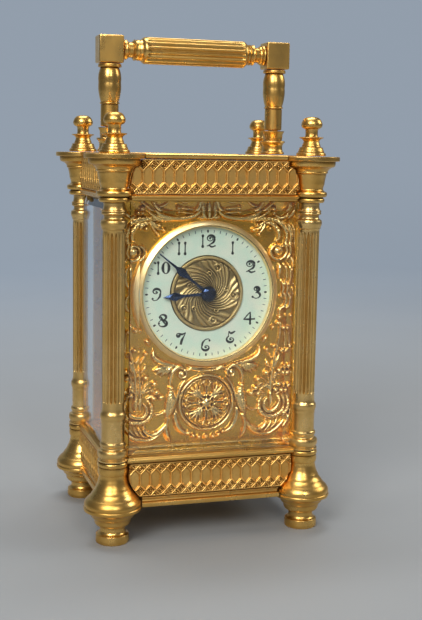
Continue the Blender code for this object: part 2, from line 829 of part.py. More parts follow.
def wheel_profile(arbor, ends, pinion_radius, pinion, wheel_radius, wheel):
    """An arbor with its pinion and wheel, all as plain discs a little under pitch size."""
    discs = sorted(((pinion_radius, pinion), (wheel_radius, wheel)), key=lambda disc: disc[1][0])
    profile = [(arbor, ends[0])]
    for radius, (low, high) in discs:
        profile += [(arbor, low), (radius, low), (radius, high), (arbor, high)]
    return profile + [(arbor, ends[1])]


def train():
    centre = wheel_profile(
        CENTRE_ARBOR, (ARBOR_BACK, CENTRE_ARBOR_FRONT),
        BARREL_MODULE * CENTRE_PINION / 2 - TIP_CLEARANCE / 2, CENTRE_PINION_SPAN,
        CENTRE_MODULE * CENTRE_TEETH / 2 - TIP_CLEARANCE, CENTRE_WHEEL_SPAN,
    )
    add_facing("centre_wheel", lathe(centre, WHEEL_STEPS), movement_brass(), 0, DIAL_Z)
    third = wheel_profile(
        ARBOR, (ARBOR_BACK, ARBOR_FRONT),
        CENTRE_MODULE * THIRD_PINION / 2 - TIP_CLEARANCE, THIRD_PINION_SPAN,
        THIRD_MODULE * THIRD_TEETH / 2 - TIP_CLEARANCE, THIRD_WHEEL_SPAN,
    )
    add_facing("third_wheel", lathe(third, WHEEL_STEPS), movement_brass(), THIRD_X, THIRD_Z)
    pinion = THIRD_MODULE * CONTRATE_PINION / 2 - TIP_CLEARANCE
    crown_inner = CONTRATE_RADIUS - CROWN_WALL
    low, high = CONTRATE_PINION_SPAN
    contrate = (
        (ARBOR, ARBOR_BACK),
        (ARBOR, CONTRATE_BACK),
        (CONTRATE_RADIUS, CONTRATE_BACK),
        (CONTRATE_RADIUS, CONTRATE_CROWN),
        (crown_inner, CONTRATE_CROWN),
        (crown_inner, CONTRATE_WEB),
        (ARBOR, CONTRATE_WEB),
        (ARBOR, low),
        (pinion, low),
        (pinion, high),
        (ARBOR, high),
        (ARBOR, ARBOR_FRONT),
    )
    add_facing("contrate_wheel", lathe(contrate, WHEEL_STEPS), movement_brass(), 0, CONTRATE_Z)


def escapement():
    """The platform with its escape wheel, pallet lever, balance and cock."""
    low, high = PLATFORM_Z
    slab = box((-PLATFORM_HALF_X, PLATFORM_Y[0], low), (PLATFORM_HALF_X, PLATFORM_Y[1], high))
    platform = add("escapement_platform", slab, movement_brass())
    hole = cylinder(PLATFORM_HOLE, low - CLEAR, high + CLEAR, PIVOT_STEPS)
    combine(platform, "DIFFERENCE", hole, (0, ESCAPE_Y, 0))
    escape = wheel_profile(
        STAFF, ESCAPE_ARBOR, ESCAPE_PINION_RADIUS, ESCAPE_PINION, ESCAPE_RADIUS, ESCAPE_WHEEL
    )
    add("escape_wheel", lathe(escape, ESCAPE_TEETH), steel(), (0, ESCAPE_Y, 0))
    pallet_lever()
    balance_wheel()
    balance_cock()


def pallet_lever():
    """A flat lever on its own small arbor, with two pallet arms and a stem towards the balance."""
    at = (0, LEVER_Y, 0)
    lever = add("pallet_lever", prism(LEVER, *LEVER_Z, "Z"), steel(), at)
    combine(lever, "UNION", cylinder(LEVER_ARBOR_RADIUS, *LEVER_ARBOR, PIVOT_STEPS), at)


def balance_wheel():
    """A rim with one straight arm on a staff. The origin is on the staff."""
    at = (0, BALANCE_Y, 0)
    rim = annulus(BALANCE_RADIUS - BALANCE_RIM, BALANCE_RADIUS, *BALANCE_Z, WHEEL_STEPS)
    balance = add("balance_wheel", rim, movement_brass(), at)
    reach = BALANCE_RADIUS - BALANCE_RIM / 2
    low, high = BALANCE_ARM_Z
    arm = box((-reach, -BALANCE_ARM_HALF, low), (reach, BALANCE_ARM_HALF, high))
    combine(balance, "UNION", arm, at)
    combine(balance, "UNION", lathe(BALANCE_STAFF, 12), at)


def balance_cock():
    """A foot on the platform's front left corner and an arm that reaches over the balance staff."""
    cock = add("balance_cock", box(COCK_FOOT_LOW, COCK_FOOT_HIGH), movement_brass())
    combine(cock, "UNION", prism(COCK_ARM, *COCK_ARM_Z, "Z"))


def main():
    clear_scene()
    corner_posts()
    plinth()
    sill()
    top_rail()
    top_frame()
    friezes()
    glasses()
    door()
    handle()
    dial()
    hands()
    movement_plates()
    barrel()
    winding_arbor()
    train()
    escapement()


main()
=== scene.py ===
"""Looks of a gilt brass carriage clock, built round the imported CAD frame.

Lengths are in millimetres until a mesh is made. Heights are counted from the table. Depths of the dial and
of the movement are counted forward, from the middle of the case towards the viewer, who looks along +Y.
"""

import json
import math

import bmesh
import bpy
import numpy as np
from mathutils import Matrix, Vector


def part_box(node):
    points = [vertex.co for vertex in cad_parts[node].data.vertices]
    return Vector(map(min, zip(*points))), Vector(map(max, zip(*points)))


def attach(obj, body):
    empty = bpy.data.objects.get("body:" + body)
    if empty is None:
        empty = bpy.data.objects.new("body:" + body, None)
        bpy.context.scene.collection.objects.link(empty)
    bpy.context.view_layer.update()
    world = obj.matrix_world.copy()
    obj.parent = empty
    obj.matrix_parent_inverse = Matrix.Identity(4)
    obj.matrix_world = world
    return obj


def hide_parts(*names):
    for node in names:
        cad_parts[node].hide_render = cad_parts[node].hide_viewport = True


MM = 0.001
GAP = 0.3  # clearance between neighbouring pieces, as in the CAD

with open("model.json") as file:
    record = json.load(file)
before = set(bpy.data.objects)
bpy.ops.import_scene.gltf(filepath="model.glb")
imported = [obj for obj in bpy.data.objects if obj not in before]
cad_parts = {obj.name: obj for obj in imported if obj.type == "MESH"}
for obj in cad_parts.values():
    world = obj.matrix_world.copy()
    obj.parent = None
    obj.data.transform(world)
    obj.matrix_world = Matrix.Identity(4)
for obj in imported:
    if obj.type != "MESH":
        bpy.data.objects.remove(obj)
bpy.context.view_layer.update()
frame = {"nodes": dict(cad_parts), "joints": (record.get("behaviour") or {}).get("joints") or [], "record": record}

BODY = {
    node: body
    for body, nodes in frame["record"]["behaviour"]["bodies"].items()
    for node in nodes
}


def span(node):
    """A CAD node's lowest and highest corners in millimetres."""
    low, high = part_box(node)
    return low / MM, high / MM


def middle(node):
    low, high = span(node)
    return (low + high) / 2


def levels(node):
    """The heights of a CAD node's foot and top."""
    low, high = span(node)
    return low.z, high.z


def depths(node):
    """How far forward a CAD node's back and front stand."""
    low, high = span(node)
    return -high.y, -low.y


# Driving places, read from the frame
POST = middle("foot_front_right")
POST_X, POST_Y = POST.x, -POST.y
FRONT_FACE = -span("base_frieze_front")[0].y
SIDE_FACE = span("base_frieze_right")[1].x
DIAL = middle("dial_bezel")


# Shapes: each is a pair of point array and face list, in millimetres


def joined(*shapes):
    """One shape from several."""
    points, faces, count = [], [], 0
    for shape_points, shape_faces in shapes:
        points.append(shape_points)
        faces += [tuple(corner + count for corner in face) for face in shape_faces]
        count += len(shape_points)
    return np.concatenate(points), faces


def placed(shape, x=0.0, y=0.0, z=0.0):
    return shape[0] + np.array((x, y, z)), shape[1]


def turned_to(shape, axis_x, axis_y, axis_z):
    """The shape with its own X, Y and Z laid along three given directions."""
    return shape[0] @ np.array((axis_x, axis_y, axis_z), float), shape[1]


def facing(shape):
    """A shape turned round Z is laid over so that its heights count forward."""
    return turned_to(shape, (1, 0, 0), (0, 0, 1), (0, -1, 0))


def sideways(shape):
    """A shape turned round Z is laid along X."""
    return turned_to(shape, (0, 0, -1), (0, 1, 0), (1, 0, 0))


def swung(shape, angle):
    """The shape turned round Z by an angle."""
    c, s = math.cos(angle), math.sin(angle)
    return turned_to(shape, (c, s, 0), (-s, c, 0), (0, 0, 1))


def bowed(path, steps=8):
    """Points along a profile. A third value bows the stretch before that point outwards by so much."""
    points = [tuple(path[0][:2])]
    for before, after in zip(path, path[1:]):
        (r0, z0), (r1, z1) = before[:2], after[:2]
        length = math.hypot(r1 - r0, z1 - z0)
        bow = after[2] if len(after) > 2 else 0.0
        if bow:
            for k in range(1, steps):
                turn = math.pi * k / steps
                t, lift = (1 - math.cos(turn)) / 2, bow * math.sin(turn)
                if abs(bow) < length / 4:
                    t, lift = k / steps, bow * 4 * k * (steps - k) / steps**2
                out_r, out_z = (z1 - z0) / length, (r0 - r1) / length
                points.append((r0 + (r1 - r0) * t + out_r * lift, z0 + (z1 - z0) * t + out_z * lift))
        points.append((r1, z1))
    return points


def spun(path, steps=96, cut=None, lift=None, tube=False):
    """A profile of (radius, height) turned round Z. cut and lift take arrays of radii, heights and angles,
    and say how far the surface is pulled in or raised. A tube's profile closes on itself."""
    angles = 2 * math.pi * np.arange(steps) / steps
    points, rings, count = [], [], 0
    for radius, height in path:
        if radius < 1e-6:
            points.append(np.array([[0.0, 0.0, height]]))
        else:
            radii = np.full(steps, float(radius))
            heights = np.full(steps, float(height))
            if cut:
                radii = radii - cut(radii, heights, angles)
            if lift:
                heights = heights + lift(radii, heights, angles)
            points.append(np.column_stack((radii * np.cos(angles), radii * np.sin(angles), heights)))
        rings.append(range(count, count + len(points[-1])))
        count += len(points[-1])
    faces = []
    pairs = list(zip(rings, rings[1:])) + ([(rings[-1], rings[0])] if tube else [])
    for lower, upper in pairs:
        faces += skin(lower, upper)
    if not tube:
        faces += [tuple(ring) for ring in (rings[0][::-1], rings[-1]) if len(ring) > 1]
    return np.concatenate(points), faces


def disc(radius, low, high, steps=40):
    """A plain round plate or post between two heights."""
    return spun(((0, low), (radius, low), (radius, high), (0, high)), steps)


def skin(lower, upper):
    """Faces between two closed loops, either of which may be a single point."""
    steps = max(len(lower), len(upper))
    faces = []
    for k in range(steps):
        after = (k + 1) % steps
        corners = [lower[k % len(lower)], lower[after % len(lower)]]
        corners += [upper[after % len(upper)], upper[k % len(upper)]]
        faces.append(tuple(dict.fromkeys(corners)))
    return faces


def stacked(loops):
    """Closed loops of equally many (x, y, z) points, skinned one above the other and capped."""
    size = len(loops[0])
    faces = []
    for k in range(len(loops) - 1):
        faces += skin(range(k * size, (k + 1) * size), range((k + 1) * size, (k + 2) * size))
    faces.append(tuple(range(size))[::-1])
    faces.append(tuple(range((len(loops) - 1) * size, len(loops) * size)))
    return np.array([point for loop in loops for point in loop], float), faces


def prism(outline, low, high):
    """An (x, y) outline raised from low to high."""
    return stacked([[(x, y, height) for x, y in outline] for height in (low, high)])


def rectangle(x0, x1, y0, y1):
    return [(x0, y0), (x1, y0), (x1, y1), (x0, y1)]


def box(low, high):
    return prism(rectangle(low[0], high[0], low[1], high[1]), low[2], high[2])


def circle(radius, x=0.0, y=0.0, steps=48):
    turn = 2 * math.pi / steps
    return [(x + radius * math.cos(k * turn), y + radius * math.sin(k * turn)) for k in range(steps)]


def pierced(outline, holes, low, high):
    """A flat plate with holes through it."""
    bm = bmesh.new()
    edges = []
    for loop in [outline] + holes:
        verts = [bm.verts.new((x, y, low)) for x, y in loop]
        edges += [bm.edges.new((verts[k - 1], verts[k])) for k in range(len(verts))]
    bmesh.ops.triangle_fill(bm, edges=edges, use_beauty=True)
    made = bmesh.ops.extrude_face_region(bm, geom=bm.faces[:])
    top = [item for item in made["geom"] if isinstance(item, bmesh.types.BMVert)]
    bmesh.ops.translate(bm, verts=top, vec=(0, 0, high - low))
    bm.verts.index_update()
    points = np.array([v.co for v in bm.verts])
    faces = [[v.index for v in face.verts] for face in bm.faces]
    bm.free()
    # A fixed order, because the fill's own order differs from run to run
    starts = [face.index(min(face)) for face in faces]
    return points, sorted(tuple(face[k:] + face[:k]) for face, k in zip(faces, starts))


def toothed(teeth, root, tip, lean=0.0):
    """A toothed outline. lean moves the tips round, for pointed escapement and ratchet teeth."""
    pitch = 2 * math.pi / teeth
    rise, fall = (lean, lean + 0.06) if lean else (0.22, 0.48)
    return [
        (radius * math.cos((k + share) * pitch), radius * math.sin((k + share) * pitch))
        for k in range(teeth)
        for radius, share in ((root, 0.0), (tip, rise), (tip, fall), (root, 0.7))
    ]


def smooth_curve(points, per=8):
    """A Catmull-Rom curve through the points, which may carry any number of values each."""
    p = np.array(points, float)
    p = np.concatenate((2 * p[:1] - p[1:2], p, 2 * p[-1:] - p[-2:-1]))
    out = []
    for k in range(1, len(p) - 2):
        for t in np.arange(per) / per:
            out.append(
                0.5 * (
                    2 * p[k]
                    + (p[k + 1] - p[k - 1]) * t
                    + (2 * p[k - 1] - 5 * p[k] + 4 * p[k + 1] - p[k + 2]) * t**2
                    + (3 * p[k] - p[k - 1] - 3 * p[k + 1] + p[k + 2]) * t**3
                )
            )
    return np.array(out + [p[-2]])


# Objects


def linked(name, data):
    """A new object in the scene."""
    obj = bpy.data.objects.new(name, data)
    bpy.context.scene.collection.objects.link(obj)
    return obj


def meshed(name, shape, loose=True):
    """A mesh in metres. loose shapes get their normals made consistent."""
    mesh = bpy.data.meshes.new(name)
    mesh.from_pydata((shape[0] * MM).tolist(), [], shape[1])
    if loose:
        bm = bmesh.new()
        bm.from_mesh(mesh)
        bmesh.ops.recalc_face_normals(bm, faces=bm.faces)
        bm.to_mesh(mesh)
        bm.free()
    return mesh


def piece(name, shape, finish, body, sharp=38.0, loose=True):
    """A visible piece that rides on a body. Its edges look sharp above an angle, given in degrees."""
    mesh = meshed(name, shape, loose)
    mesh.shade_smooth()
    mesh.set_sharp_from_angle(angle=math.radians(sharp))
    mesh.materials.append(finish)
    obj = linked(name, mesh)
    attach(obj, body)
    return obj


def stand_in(node, shape, finish, sharp=38.0, loose=True):
    """The finished surface shown in place of a CAD node."""
    obj = piece(f"{node}_surface", shape, finish, BODY[node], sharp, loose)
    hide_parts(node)
    return obj


def rounded(obj, width, segments=2):
    """Small rounds on all sharp edges."""
    bevel = obj.modifiers.new("edge_rounds", "BEVEL")
    bevel.width = width * MM
    bevel.segments = segments
    bevel.limit_method = "ANGLE"
    bevel.angle_limit = math.radians(40)
    weighted = obj.modifiers.new("flat_faces", "WEIGHTED_NORMAL")
    weighted.keep_sharp = True
    return obj


def combined(shape, steps):
    """The shape after Boolean steps of (operation, other shape), each shape being closed."""
    base = linked("helper", meshed("helper", shape))
    tools = []
    for operation, other in steps:
        tools.append(linked("helper", meshed("helper", other)))
        modifier = base.modifiers.new("step", "BOOLEAN")
        modifier.operation = operation
        modifier.object = tools[-1]
        modifier.solver = "EXACT"
    evaluated = base.evaluated_get(bpy.context.evaluated_depsgraph_get())
    mesh = bpy.data.meshes.new_from_object(evaluated)
    result = (
        np.array([v.co for v in mesh.vertices]) / MM,
        [tuple(polygon.vertices) for polygon in mesh.polygons],
    )
    for obj in [base] + tools:
        bpy.data.objects.remove(obj)
    return result


# Materials


class Finish:
    """A small wrapper that builds one node material."""

    def __init__(self, name):
        self.material = bpy.data.materials.new(f"{name}_finish")
        self.material.use_nodes = True
        self.nodes = self.material.node_tree.nodes
        self.links = self.material.node_tree.links
        self.shader = self.nodes["Principled BSDF"]
        self.place = self.nodes.new("ShaderNodeTexCoord").outputs["Object"]

    def put(self, socket, value):
        if isinstance(value, bpy.types.NodeSocket):
            self.links.new(value, socket)
        else:
            socket.default_value = value

    def noise(self, size, detail=4.0, stretch=(1, 1, 1)):
        """Noise whose features are about size millimetres across, stretched along the axes."""
        mapping = self.nodes.new("ShaderNodeMapping")
        self.links.new(self.place, mapping.inputs["Vector"])
        mapping.inputs["Scale"].default_value = [1 / (size * MM * s) for s in stretch]
        node = self.nodes.new("ShaderNodeTexNoise")
        self.links.new(mapping.outputs["Vector"], node.inputs["Vector"])
        node.inputs["Scale"].default_value = 1.0
        node.inputs["Detail"].default_value = detail
        node.inputs["Roughness"].default_value = 0.55
        return node.outputs["Fac"]

    def spread(self, value, low, high, from_low=0.0, from_high=1.0):
        """The value's range from_low to from_high spread over low to high."""
        node = self.nodes.new("ShaderNodeMapRange")
        self.put(node.inputs["Value"], value)
        ends = {"From Min": from_low, "From Max": from_high, "To Min": low, "To Max": high}
        for socket, number in ends.items():
            node.inputs[socket].default_value = number
        return node.outputs["Result"]

    def blend(self, share, first, second):
        """Two colours mixed, the second by a share."""
        node = self.nodes.new("ShaderNodeMix")
        node.data_type = "RGBA"
        self.put(node.inputs["Factor"], share)
        self.put(node.inputs[6], first)
        self.put(node.inputs[7], second)
        return node.outputs[2]

    def maths(self, operation, first, second=0.0):
        node = self.nodes.new("ShaderNodeMath")
        node.operation = operation
        self.put(node.inputs[0], first)
        self.put(node.inputs[1], second)
        return node.outputs[0]

    def recess(self, reach):
        """0 in the open and up to 1 deep in a recess, looking reach millimetres around."""
        node = self.nodes.new("ShaderNodeAmbientOcclusion")
        node.samples = 6
        node.only_local = True
        node.inputs["Distance"].default_value = reach * MM
        return self.maths("SUBTRACT", 1.0, node.outputs["AO"])

    def depth(self):
        """The place along Y, in metres."""
        node = self.nodes.new("ShaderNodeSeparateXYZ")
        self.links.new(self.place, node.inputs[0])
        return node.outputs["Y"]

    def edge(self):
        """0 on flat metal and 1 on outer edges."""
        pointed = self.nodes.new("ShaderNodeNewGeometry").outputs["Pointiness"]
        return self.spread(pointed, 0.0, 1.0, 0.51, 0.58)

    def bumps(self, height, depth, strength=1.0, before=None):
        """Surface bumps of a depth in millimetres."""
        node = self.nodes.new("ShaderNodeBump")
        node.inputs["Strength"].default_value = strength
        node.inputs["Distance"].default_value = depth * MM
        self.put(node.inputs["Height"], height)
        if before:
            self.links.new(before, node.inputs["Normal"])
        return node.outputs["Normal"]

    def set(self, **values):
        for name, value in values.items():
            self.put(self.shader.inputs[name.replace("_", " ").title()], value)


def shade(colour, factor):
    return (colour[0] * factor, colour[1] * factor, colour[2] * factor, 1.0)


def metal(name, light, dark, tarnish_and_shade_colour, roughness, line=None, reach=1.2, tarnish_and_shade_strength=1.0, ground=None, field=None):
    """Polished metal: a cloudy tone between light and dark, recesses darkened partly by tarnish and partly by
    painted shade, brighter worn edges and a satin grain. A recess is looked for within reach and darkened
    towards the tarnish colour by about the share that follows reach. line is the size and the stretch of
    brushed lines. Between the two depths of ground the tone turns to field."""
    finish = Finish(name)
    cloud = finish.noise(9.0, 3.0)
    fine = finish.noise(1.1, 5.0)
    tone = finish.blend(finish.spread(cloud, 0.0, 1.0, 0.36, 0.66), (*light, 1), (*dark, 1))
    specks = finish.spread(fine, 0.0, 0.35, 0.5, 0.75)
    tone = finish.blend(specks, tone, shade(dark, 0.8))
    # Tarnish and painted shade: recesses found by ambient occlusion are darkened
    recess = finish.recess(reach)
    tarnish_and_shade = finish.spread(recess, 0.0, tarnish_and_shade_strength, 0.12, 0.7)
    tarnish_and_shade = finish.maths("MULTIPLY", tarnish_and_shade, finish.spread(cloud, 0.75, 1.1))
    if ground:
        level = finish.spread(finish.depth(), 1.0, 0.0, ground[0] * MM, ground[1] * MM)
        level = finish.maths("MULTIPLY", level, finish.spread(cloud, 0.8, 1.0))
        tone = finish.blend(level, tone, (*field, 1))
    # Recesses turn to the tarnish colour here, which stands for both tarnish and painted shade
    tone = finish.blend(tarnish_and_shade, tone, (*tarnish_and_shade_colour, 1))
    tone = finish.blend(finish.maths("MULTIPLY", finish.edge(), 0.35), tone, shade(light, 1.12))
    lines = finish.noise(line[0], 2.0, line[1]) if line else finish.noise(0.35, 2.0)
    rough = finish.spread(cloud, *roughness, 0.3, 0.7)
    rough = finish.maths("ADD", rough, finish.spread(fine, -0.03, 0.05))
    rough = finish.maths("ADD", rough, finish.maths("MULTIPLY", tarnish_and_shade, 0.3))
    normal = finish.bumps(lines, 0.006)
    normal = finish.bumps(finish.noise(2.4, 2.0), 0.02, 0.6, normal)
    finish.set(base_color=tone, metallic=1.0, roughness=rough, normal=normal)
    return finish.material


def glass_finish():
    """Clear bevelled plate glass with a faint film, which lets light through to what stands behind it."""
    finish = Finish("bevelled_glass")
    film = finish.noise(14.0, 4.0)
    finish.set(
        base_color=(0.97, 0.99, 0.985, 1),
        roughness=finish.spread(film, 0.0, 0.012, 0.45, 0.75),
        transmission_weight=1.0,
        normal=finish.bumps(finish.noise(22.0, 1.0), 0.004),
    )
    finish.shader.inputs["IOR"].default_value = 1.5
    path = finish.nodes.new("ShaderNodeLightPath")
    clear = finish.nodes.new("ShaderNodeBsdfTransparent")
    clear.inputs["Color"].default_value = (0.95, 0.97, 0.96, 1)
    mix = finish.nodes.new("ShaderNodeMixShader")
    unseen = finish.maths("MAXIMUM", path.outputs["Is Shadow Ray"], path.outputs["Is Diffuse Ray"])
    finish.links.new(unseen, mix.inputs[0])
    finish.links.new(finish.shader.outputs[0], mix.inputs[1])
    finish.links.new(clear.outputs[0], mix.inputs[2])
    output = finish.nodes["Material Output"]
    finish.links.new(mix.outputs[0], output.inputs["Surface"])
    return finish.material


def enamel_finish():
    """Fired white enamel with a cool tint, faint clouds and pinholes under a glossy coat."""
    finish = Finish("white_enamel")
    cloud = finish.noise(7.0, 3.0)
    pits = finish.noise(0.25, 2.0)
    share = finish.spread(cloud, 0.0, 1.0, 0.35, 0.65)
    tone = finish.blend(share, (0.76, 0.93, 0.78, 1), (0.89, 0.95, 0.80, 1))
    tone = finish.blend(finish.spread(pits, 0.0, 0.25, 0.70, 0.78), tone, (0.42, 0.45, 0.40, 1))
    normal = finish.bumps(finish.noise(5.0, 2.0), 0.03)
    finish.set(
        base_color=tone,
        roughness=finish.spread(cloud, 0.10, 0.2),
        coat_weight=0.6,
        coat_roughness=0.05,
        normal=normal,
    )
    return finish.material


def ink_finish(name, colour, worn):
    """Fired black or blue dial paint, a little uneven."""
    finish = Finish(name)
    wear = finish.noise(0.4, 3.0)
    tone = finish.blend(finish.spread(wear, 0.0, 1.0, 0.45, 0.75), (*colour, 1), (*worn, 1))
    finish.set(base_color=tone, roughness=finish.spread(wear, 0.25, 0.5), normal=finish.bumps(wear, 0.01))
    return finish.material


# The fourth colour of each metal below is what its recesses darken to: tarnish and painted shade together
BRASS_TARNISH_AND_SHADE = (0.10, 0.052, 0.012)
satin_brass = metal(
    "satin_brass", (0.88, 0.55, 0.165), (0.72, 0.41, 0.095), BRASS_TARNISH_AND_SHADE, (0.23, 0.37),
    line=(0.22, (60, 60, 1)),
)
shaft_brass = metal(
    "shaft_brass", (0.92, 0.62, 0.24), (0.76, 0.48, 0.15), (0.12, 0.07, 0.018), (0.23, 0.37),
    line=(0.22, (60, 60, 1)), reach=0.9,
)
gilt_relief = metal(
    "gilt_relief", (0.98, 0.61, 0.19), (0.84, 0.46, 0.11), (0.10, 0.042, 0.008), (0.33, 0.46),
    reach=0.8, tarnish_and_shade_strength=0.85,
)
mask_gilt = metal(
    "mask_gilt", (1.0, 0.75, 0.33), (0.94, 0.62, 0.21), (0.22, 0.10, 0.016), (0.17, 0.28),
    reach=1.2, tarnish_and_shade_strength=0.8, ground=(-22.25, -23.0), field=(0.84, 0.45, 0.06),
)
bezel_gilt = metal(
    "bezel_gilt", (1.0, 0.77, 0.40), (0.94, 0.68, 0.30), (0.10, 0.05, 0.012), (0.34, 0.44),
    line=(0.3, (1, 1, 1)), reach=0.8,
)
centre_gilt = metal(
    "centre_gilt", (0.60, 0.45, 0.21), (0.42, 0.30, 0.12), (0.035, 0.024, 0.010), (0.42, 0.54),
    reach=0.9, ground=(-21.1, -21.75), field=(0.06, 0.042, 0.018),
)
movement_brass = metal(
    "movement_brass", (0.80, 0.60, 0.27), (0.66, 0.46, 0.18), BRASS_TARNISH_AND_SHADE, (0.24, 0.36),
    line=(0.25, (1, 40, 1)),
)
polished_steel = metal(
    "polished_steel", (0.62, 0.62, 0.63), (0.46, 0.46, 0.47), (0.05, 0.045, 0.04), (0.14, 0.26),
    line=(0.2, (30, 1, 30)),
)
blued_steel = metal(
    "blued_steel", (0.045, 0.075, 0.16), (0.020, 0.028, 0.055), (0.006, 0.006, 0.009), (0.14, 0.26),
    line=(0.2, (1, 1, 30)),
)
bevelled_glass = glass_finish()
white_enamel = enamel_finish()
black_ink = ink_finish("black_ink", (0.012, 0.016, 0.016), (0.05, 0.06, 0.06))
blue_ink = ink_finish("blue_ink", (0.03, 0.07, 0.11), (0.12, 0.20, 0.25))


# Corner posts: (radius, height, bow) from the bottom up

FOOT = (
    (0, 0), (5.95, 0), (6.2, 0.25), (6.28, 1.8, 0.08), (6.2, 3.1), (5.9, 3.4, 0.1), (4.75, 5.0, -0.3),
    (4.75, 6.3), (5.3, 6.5), (6.88, 8.3, 0.4), (6.95, 8.8), (7.95, 10.1, -0.15), (10.75, 12.6, -0.5),
    (10.83, 12.85), (10.83, 13.8, 0.1), (10.6, 14.0), (10.6, 15.5, 0.12), (9.0, 17.6, 0.2),
    (7.7, 19.4, -0.1), (6.45, 21.35, -0.15), (5.5, 23.9, -0.12), (5.14, 26.3, -0.1), (5.5, 26.6, 0.1),
    (5.5, 29.0, 0.12), (5.2, 29.2), (5.2, 29.4), (5.67, 29.6, 0.08), (5.67, 30.8, 0.1), (5.5, 31.0),
    (0, 31.0),
)
COLUMN_FOOT = (
    (0, 31.3), (5.4, 31.3), (5.66, 31.5), (5.66, 32.0), (5.2, 32.25), (5.2, 32.6), (5.45, 35.7, 0.45),
    (5.0, 35.9), (4.5, 36.6, -0.2), (4.5, 37.0), (4.72, 37.2), (4.72, 38.6, 0.18), (4.32, 38.9),
    (4.32, 45.7), (4.45, 46.0), (4.65, 47.4, -0.1), (4.7, 49.5, 0.15), (4.2, 50.8, -0.1), (4.1, 51.6),
)
COLUMN_HEAD = (
    (4.1, 117.0), (4.52, 117.7, -0.08), (4.52, 118.3), (4.75, 120.8, 0.3), (4.3, 121.1),
    (3.74, 122.2, -0.2), (3.74, 122.7), (4.3, 122.95), (4.5, 123.7, 0.18), (4.3, 123.8),
    (4.5, 124.5, 0.18), (4.1, 124.7), (3.85, 126.9, -0.15), (3.85, 127.2), (0, 127.2),
)
CAPITAL = (
    (0, 127.5), (5.2, 127.5), (5.45, 127.7), (5.45, 129.0, 0.2), (5.0, 129.25), (5.0, 129.5),
    (6.2, 129.7), (6.35, 131.4, 0.25), (5.7, 131.7), (4.92, 132.6, -0.15), (5.43, 134.4, -0.05),
    (6.04, 137.9, -0.08), (6.04, 138.3), (6.53, 138.6), (6.53, 139.2, 0.1), (8.66, 140.9, -0.35),
    (9.17, 141.2), (9.43, 142.6, 0.1), (9.43, 143.05), (10.7, 143.1), (11.0, 143.35), (11.0, 144.5),
    (10.75, 144.8), (0, 144.8),
)
FINIAL = (
    (0, 145.1), (5.5, 145.1), (5.6, 145.35), (5.35, 146.2, 0.08), (4.9, 146.35), (4.55, 147.4, 0.1),
    (4.4, 148.2), (3.7, 148.4), (3.4, 149.2, -0.08), (2.93, 150.4, -0.05), (4.3, 151.6, -0.25),
    (4.6, 151.85), (4.45, 152.05), (2.5, 152.25, -0.05), (2.35, 152.6), (2.35, 154.5), (2.6, 155.1),
    (4.0, 157.0, 0.5), (0, 159.4, 1.15),
)
FLUTES, FLUTE_DEPTH, FLUTE_SHARE = 16, 0.68, 0.98
FLUTED = (53.6, 116.4)  # the levels where a column's flutes start and end


def fluting(count, depth, low, high, point=3.2, share=0.86):
    """A cut of soft-edged flutes that end in pointed arches. share is a flute's part of the pitch."""
    def cut(radii, heights, angles):
        pitch = 2 * math.pi / count
        across = np.abs((angles / pitch + 0.5) % 1.0 - 0.5) * 2
        inside = np.minimum(heights - low, high - heights) / point
        width = share * np.sqrt(np.clip(1 - (1 - np.clip(inside, 0, 1)) ** 2, 0, 1)) + 1e-6
        return depth * np.cos(np.clip(across / width, -1, 1) * math.pi / 2) ** 2 * (width / share) ** 0.5
    return cut


def shaft_heights(low, high, point=3.2, rows=14):
    """Levels along a fluted shaft, close together where the flutes end."""
    ends = point * (np.arange(rows) / (rows - 1)) ** 1.3
    return np.concatenate((low + ends, np.linspace(low + point, high - point, 6)[1:-1], high - ends[::-1]))


def column():
    shaft = [(4.1, height) for height in shaft_heights(*FLUTED)]
    path = bowed(COLUMN_FOOT) + shaft + bowed(COLUMN_HEAD)
    return spun(path, FLUTES * 14, cut=fluting(FLUTES, FLUTE_DEPTH, *FLUTED, share=FLUTE_SHARE))


def posts():
    """Each post's foot, column, capital and finial, standing on its CAD node's axis and level."""
    kinds = {
        "foot": (spun(bowed(FOOT), 112), satin_brass),
        "column": (column(), shaft_brass),
        "capital": (spun(bowed(CAPITAL), 112), satin_brass),
        "finial": (spun(bowed(FINIAL, 12), 96), satin_brass),
    }
    for kind, (shape, finish) in kinds.items():
        for end in ("front", "back"):
            for side in ("left", "right"):
                node = f"{kind}_{end}_{side}"
                axis = middle(node)
                bottom = levels(node)[0] - shape[0][:, 2].min()
                stand_in(node, placed(shape, axis.x, axis.y, bottom), finish, 30)


# Rails between the posts


def radius_at(path, height):
    """The widest radius of a turned profile near a height."""
    near = [r for r, z in bowed(path) if abs(z - height) < 0.35]
    before = [(r, z) for r, z in bowed(path) if z <= height][-1]
    after = [(r, z) for r, z in bowed(path) if z >= height][0]
    rise = after[1] - before[1]
    between = before[0] + (after[0] - before[0]) * ((height - before[1]) / rise if rise else 0)
    return max(near + [between])


def plan(front, side, notch):
    """The case's plan at one level: straight sides with a round notch for each post."""
    steps = 14
    outline = []
    start = math.asin((front - POST_Y) / notch)
    end = math.pi / 2 + math.asin((side - POST_X) / notch)
    for sign_x, sign_y in ((-1, -1), (1, -1), (1, 1), (-1, 1)):
        arc = []
        for k in range(steps):
            angle = -start + (end + start) * k / (steps - 1)
            arc.append((
                sign_x * (POST_X - notch * math.cos(angle)),
                sign_y * (POST_Y - notch * math.sin(angle)),
            ))
        outline += arc[::-1] if sign_x == sign_y else arc
    return outline


def moulding(path, notch):
    """A slab whose edge follows (inset, height) points, with the posts' notches of one radius."""
    return stacked([
        [(x, y, height) for x, y in plan(FRONT_FACE - inset, SIDE_FACE - inset, notch)]
        for inset, height in bowed(path)
    ])


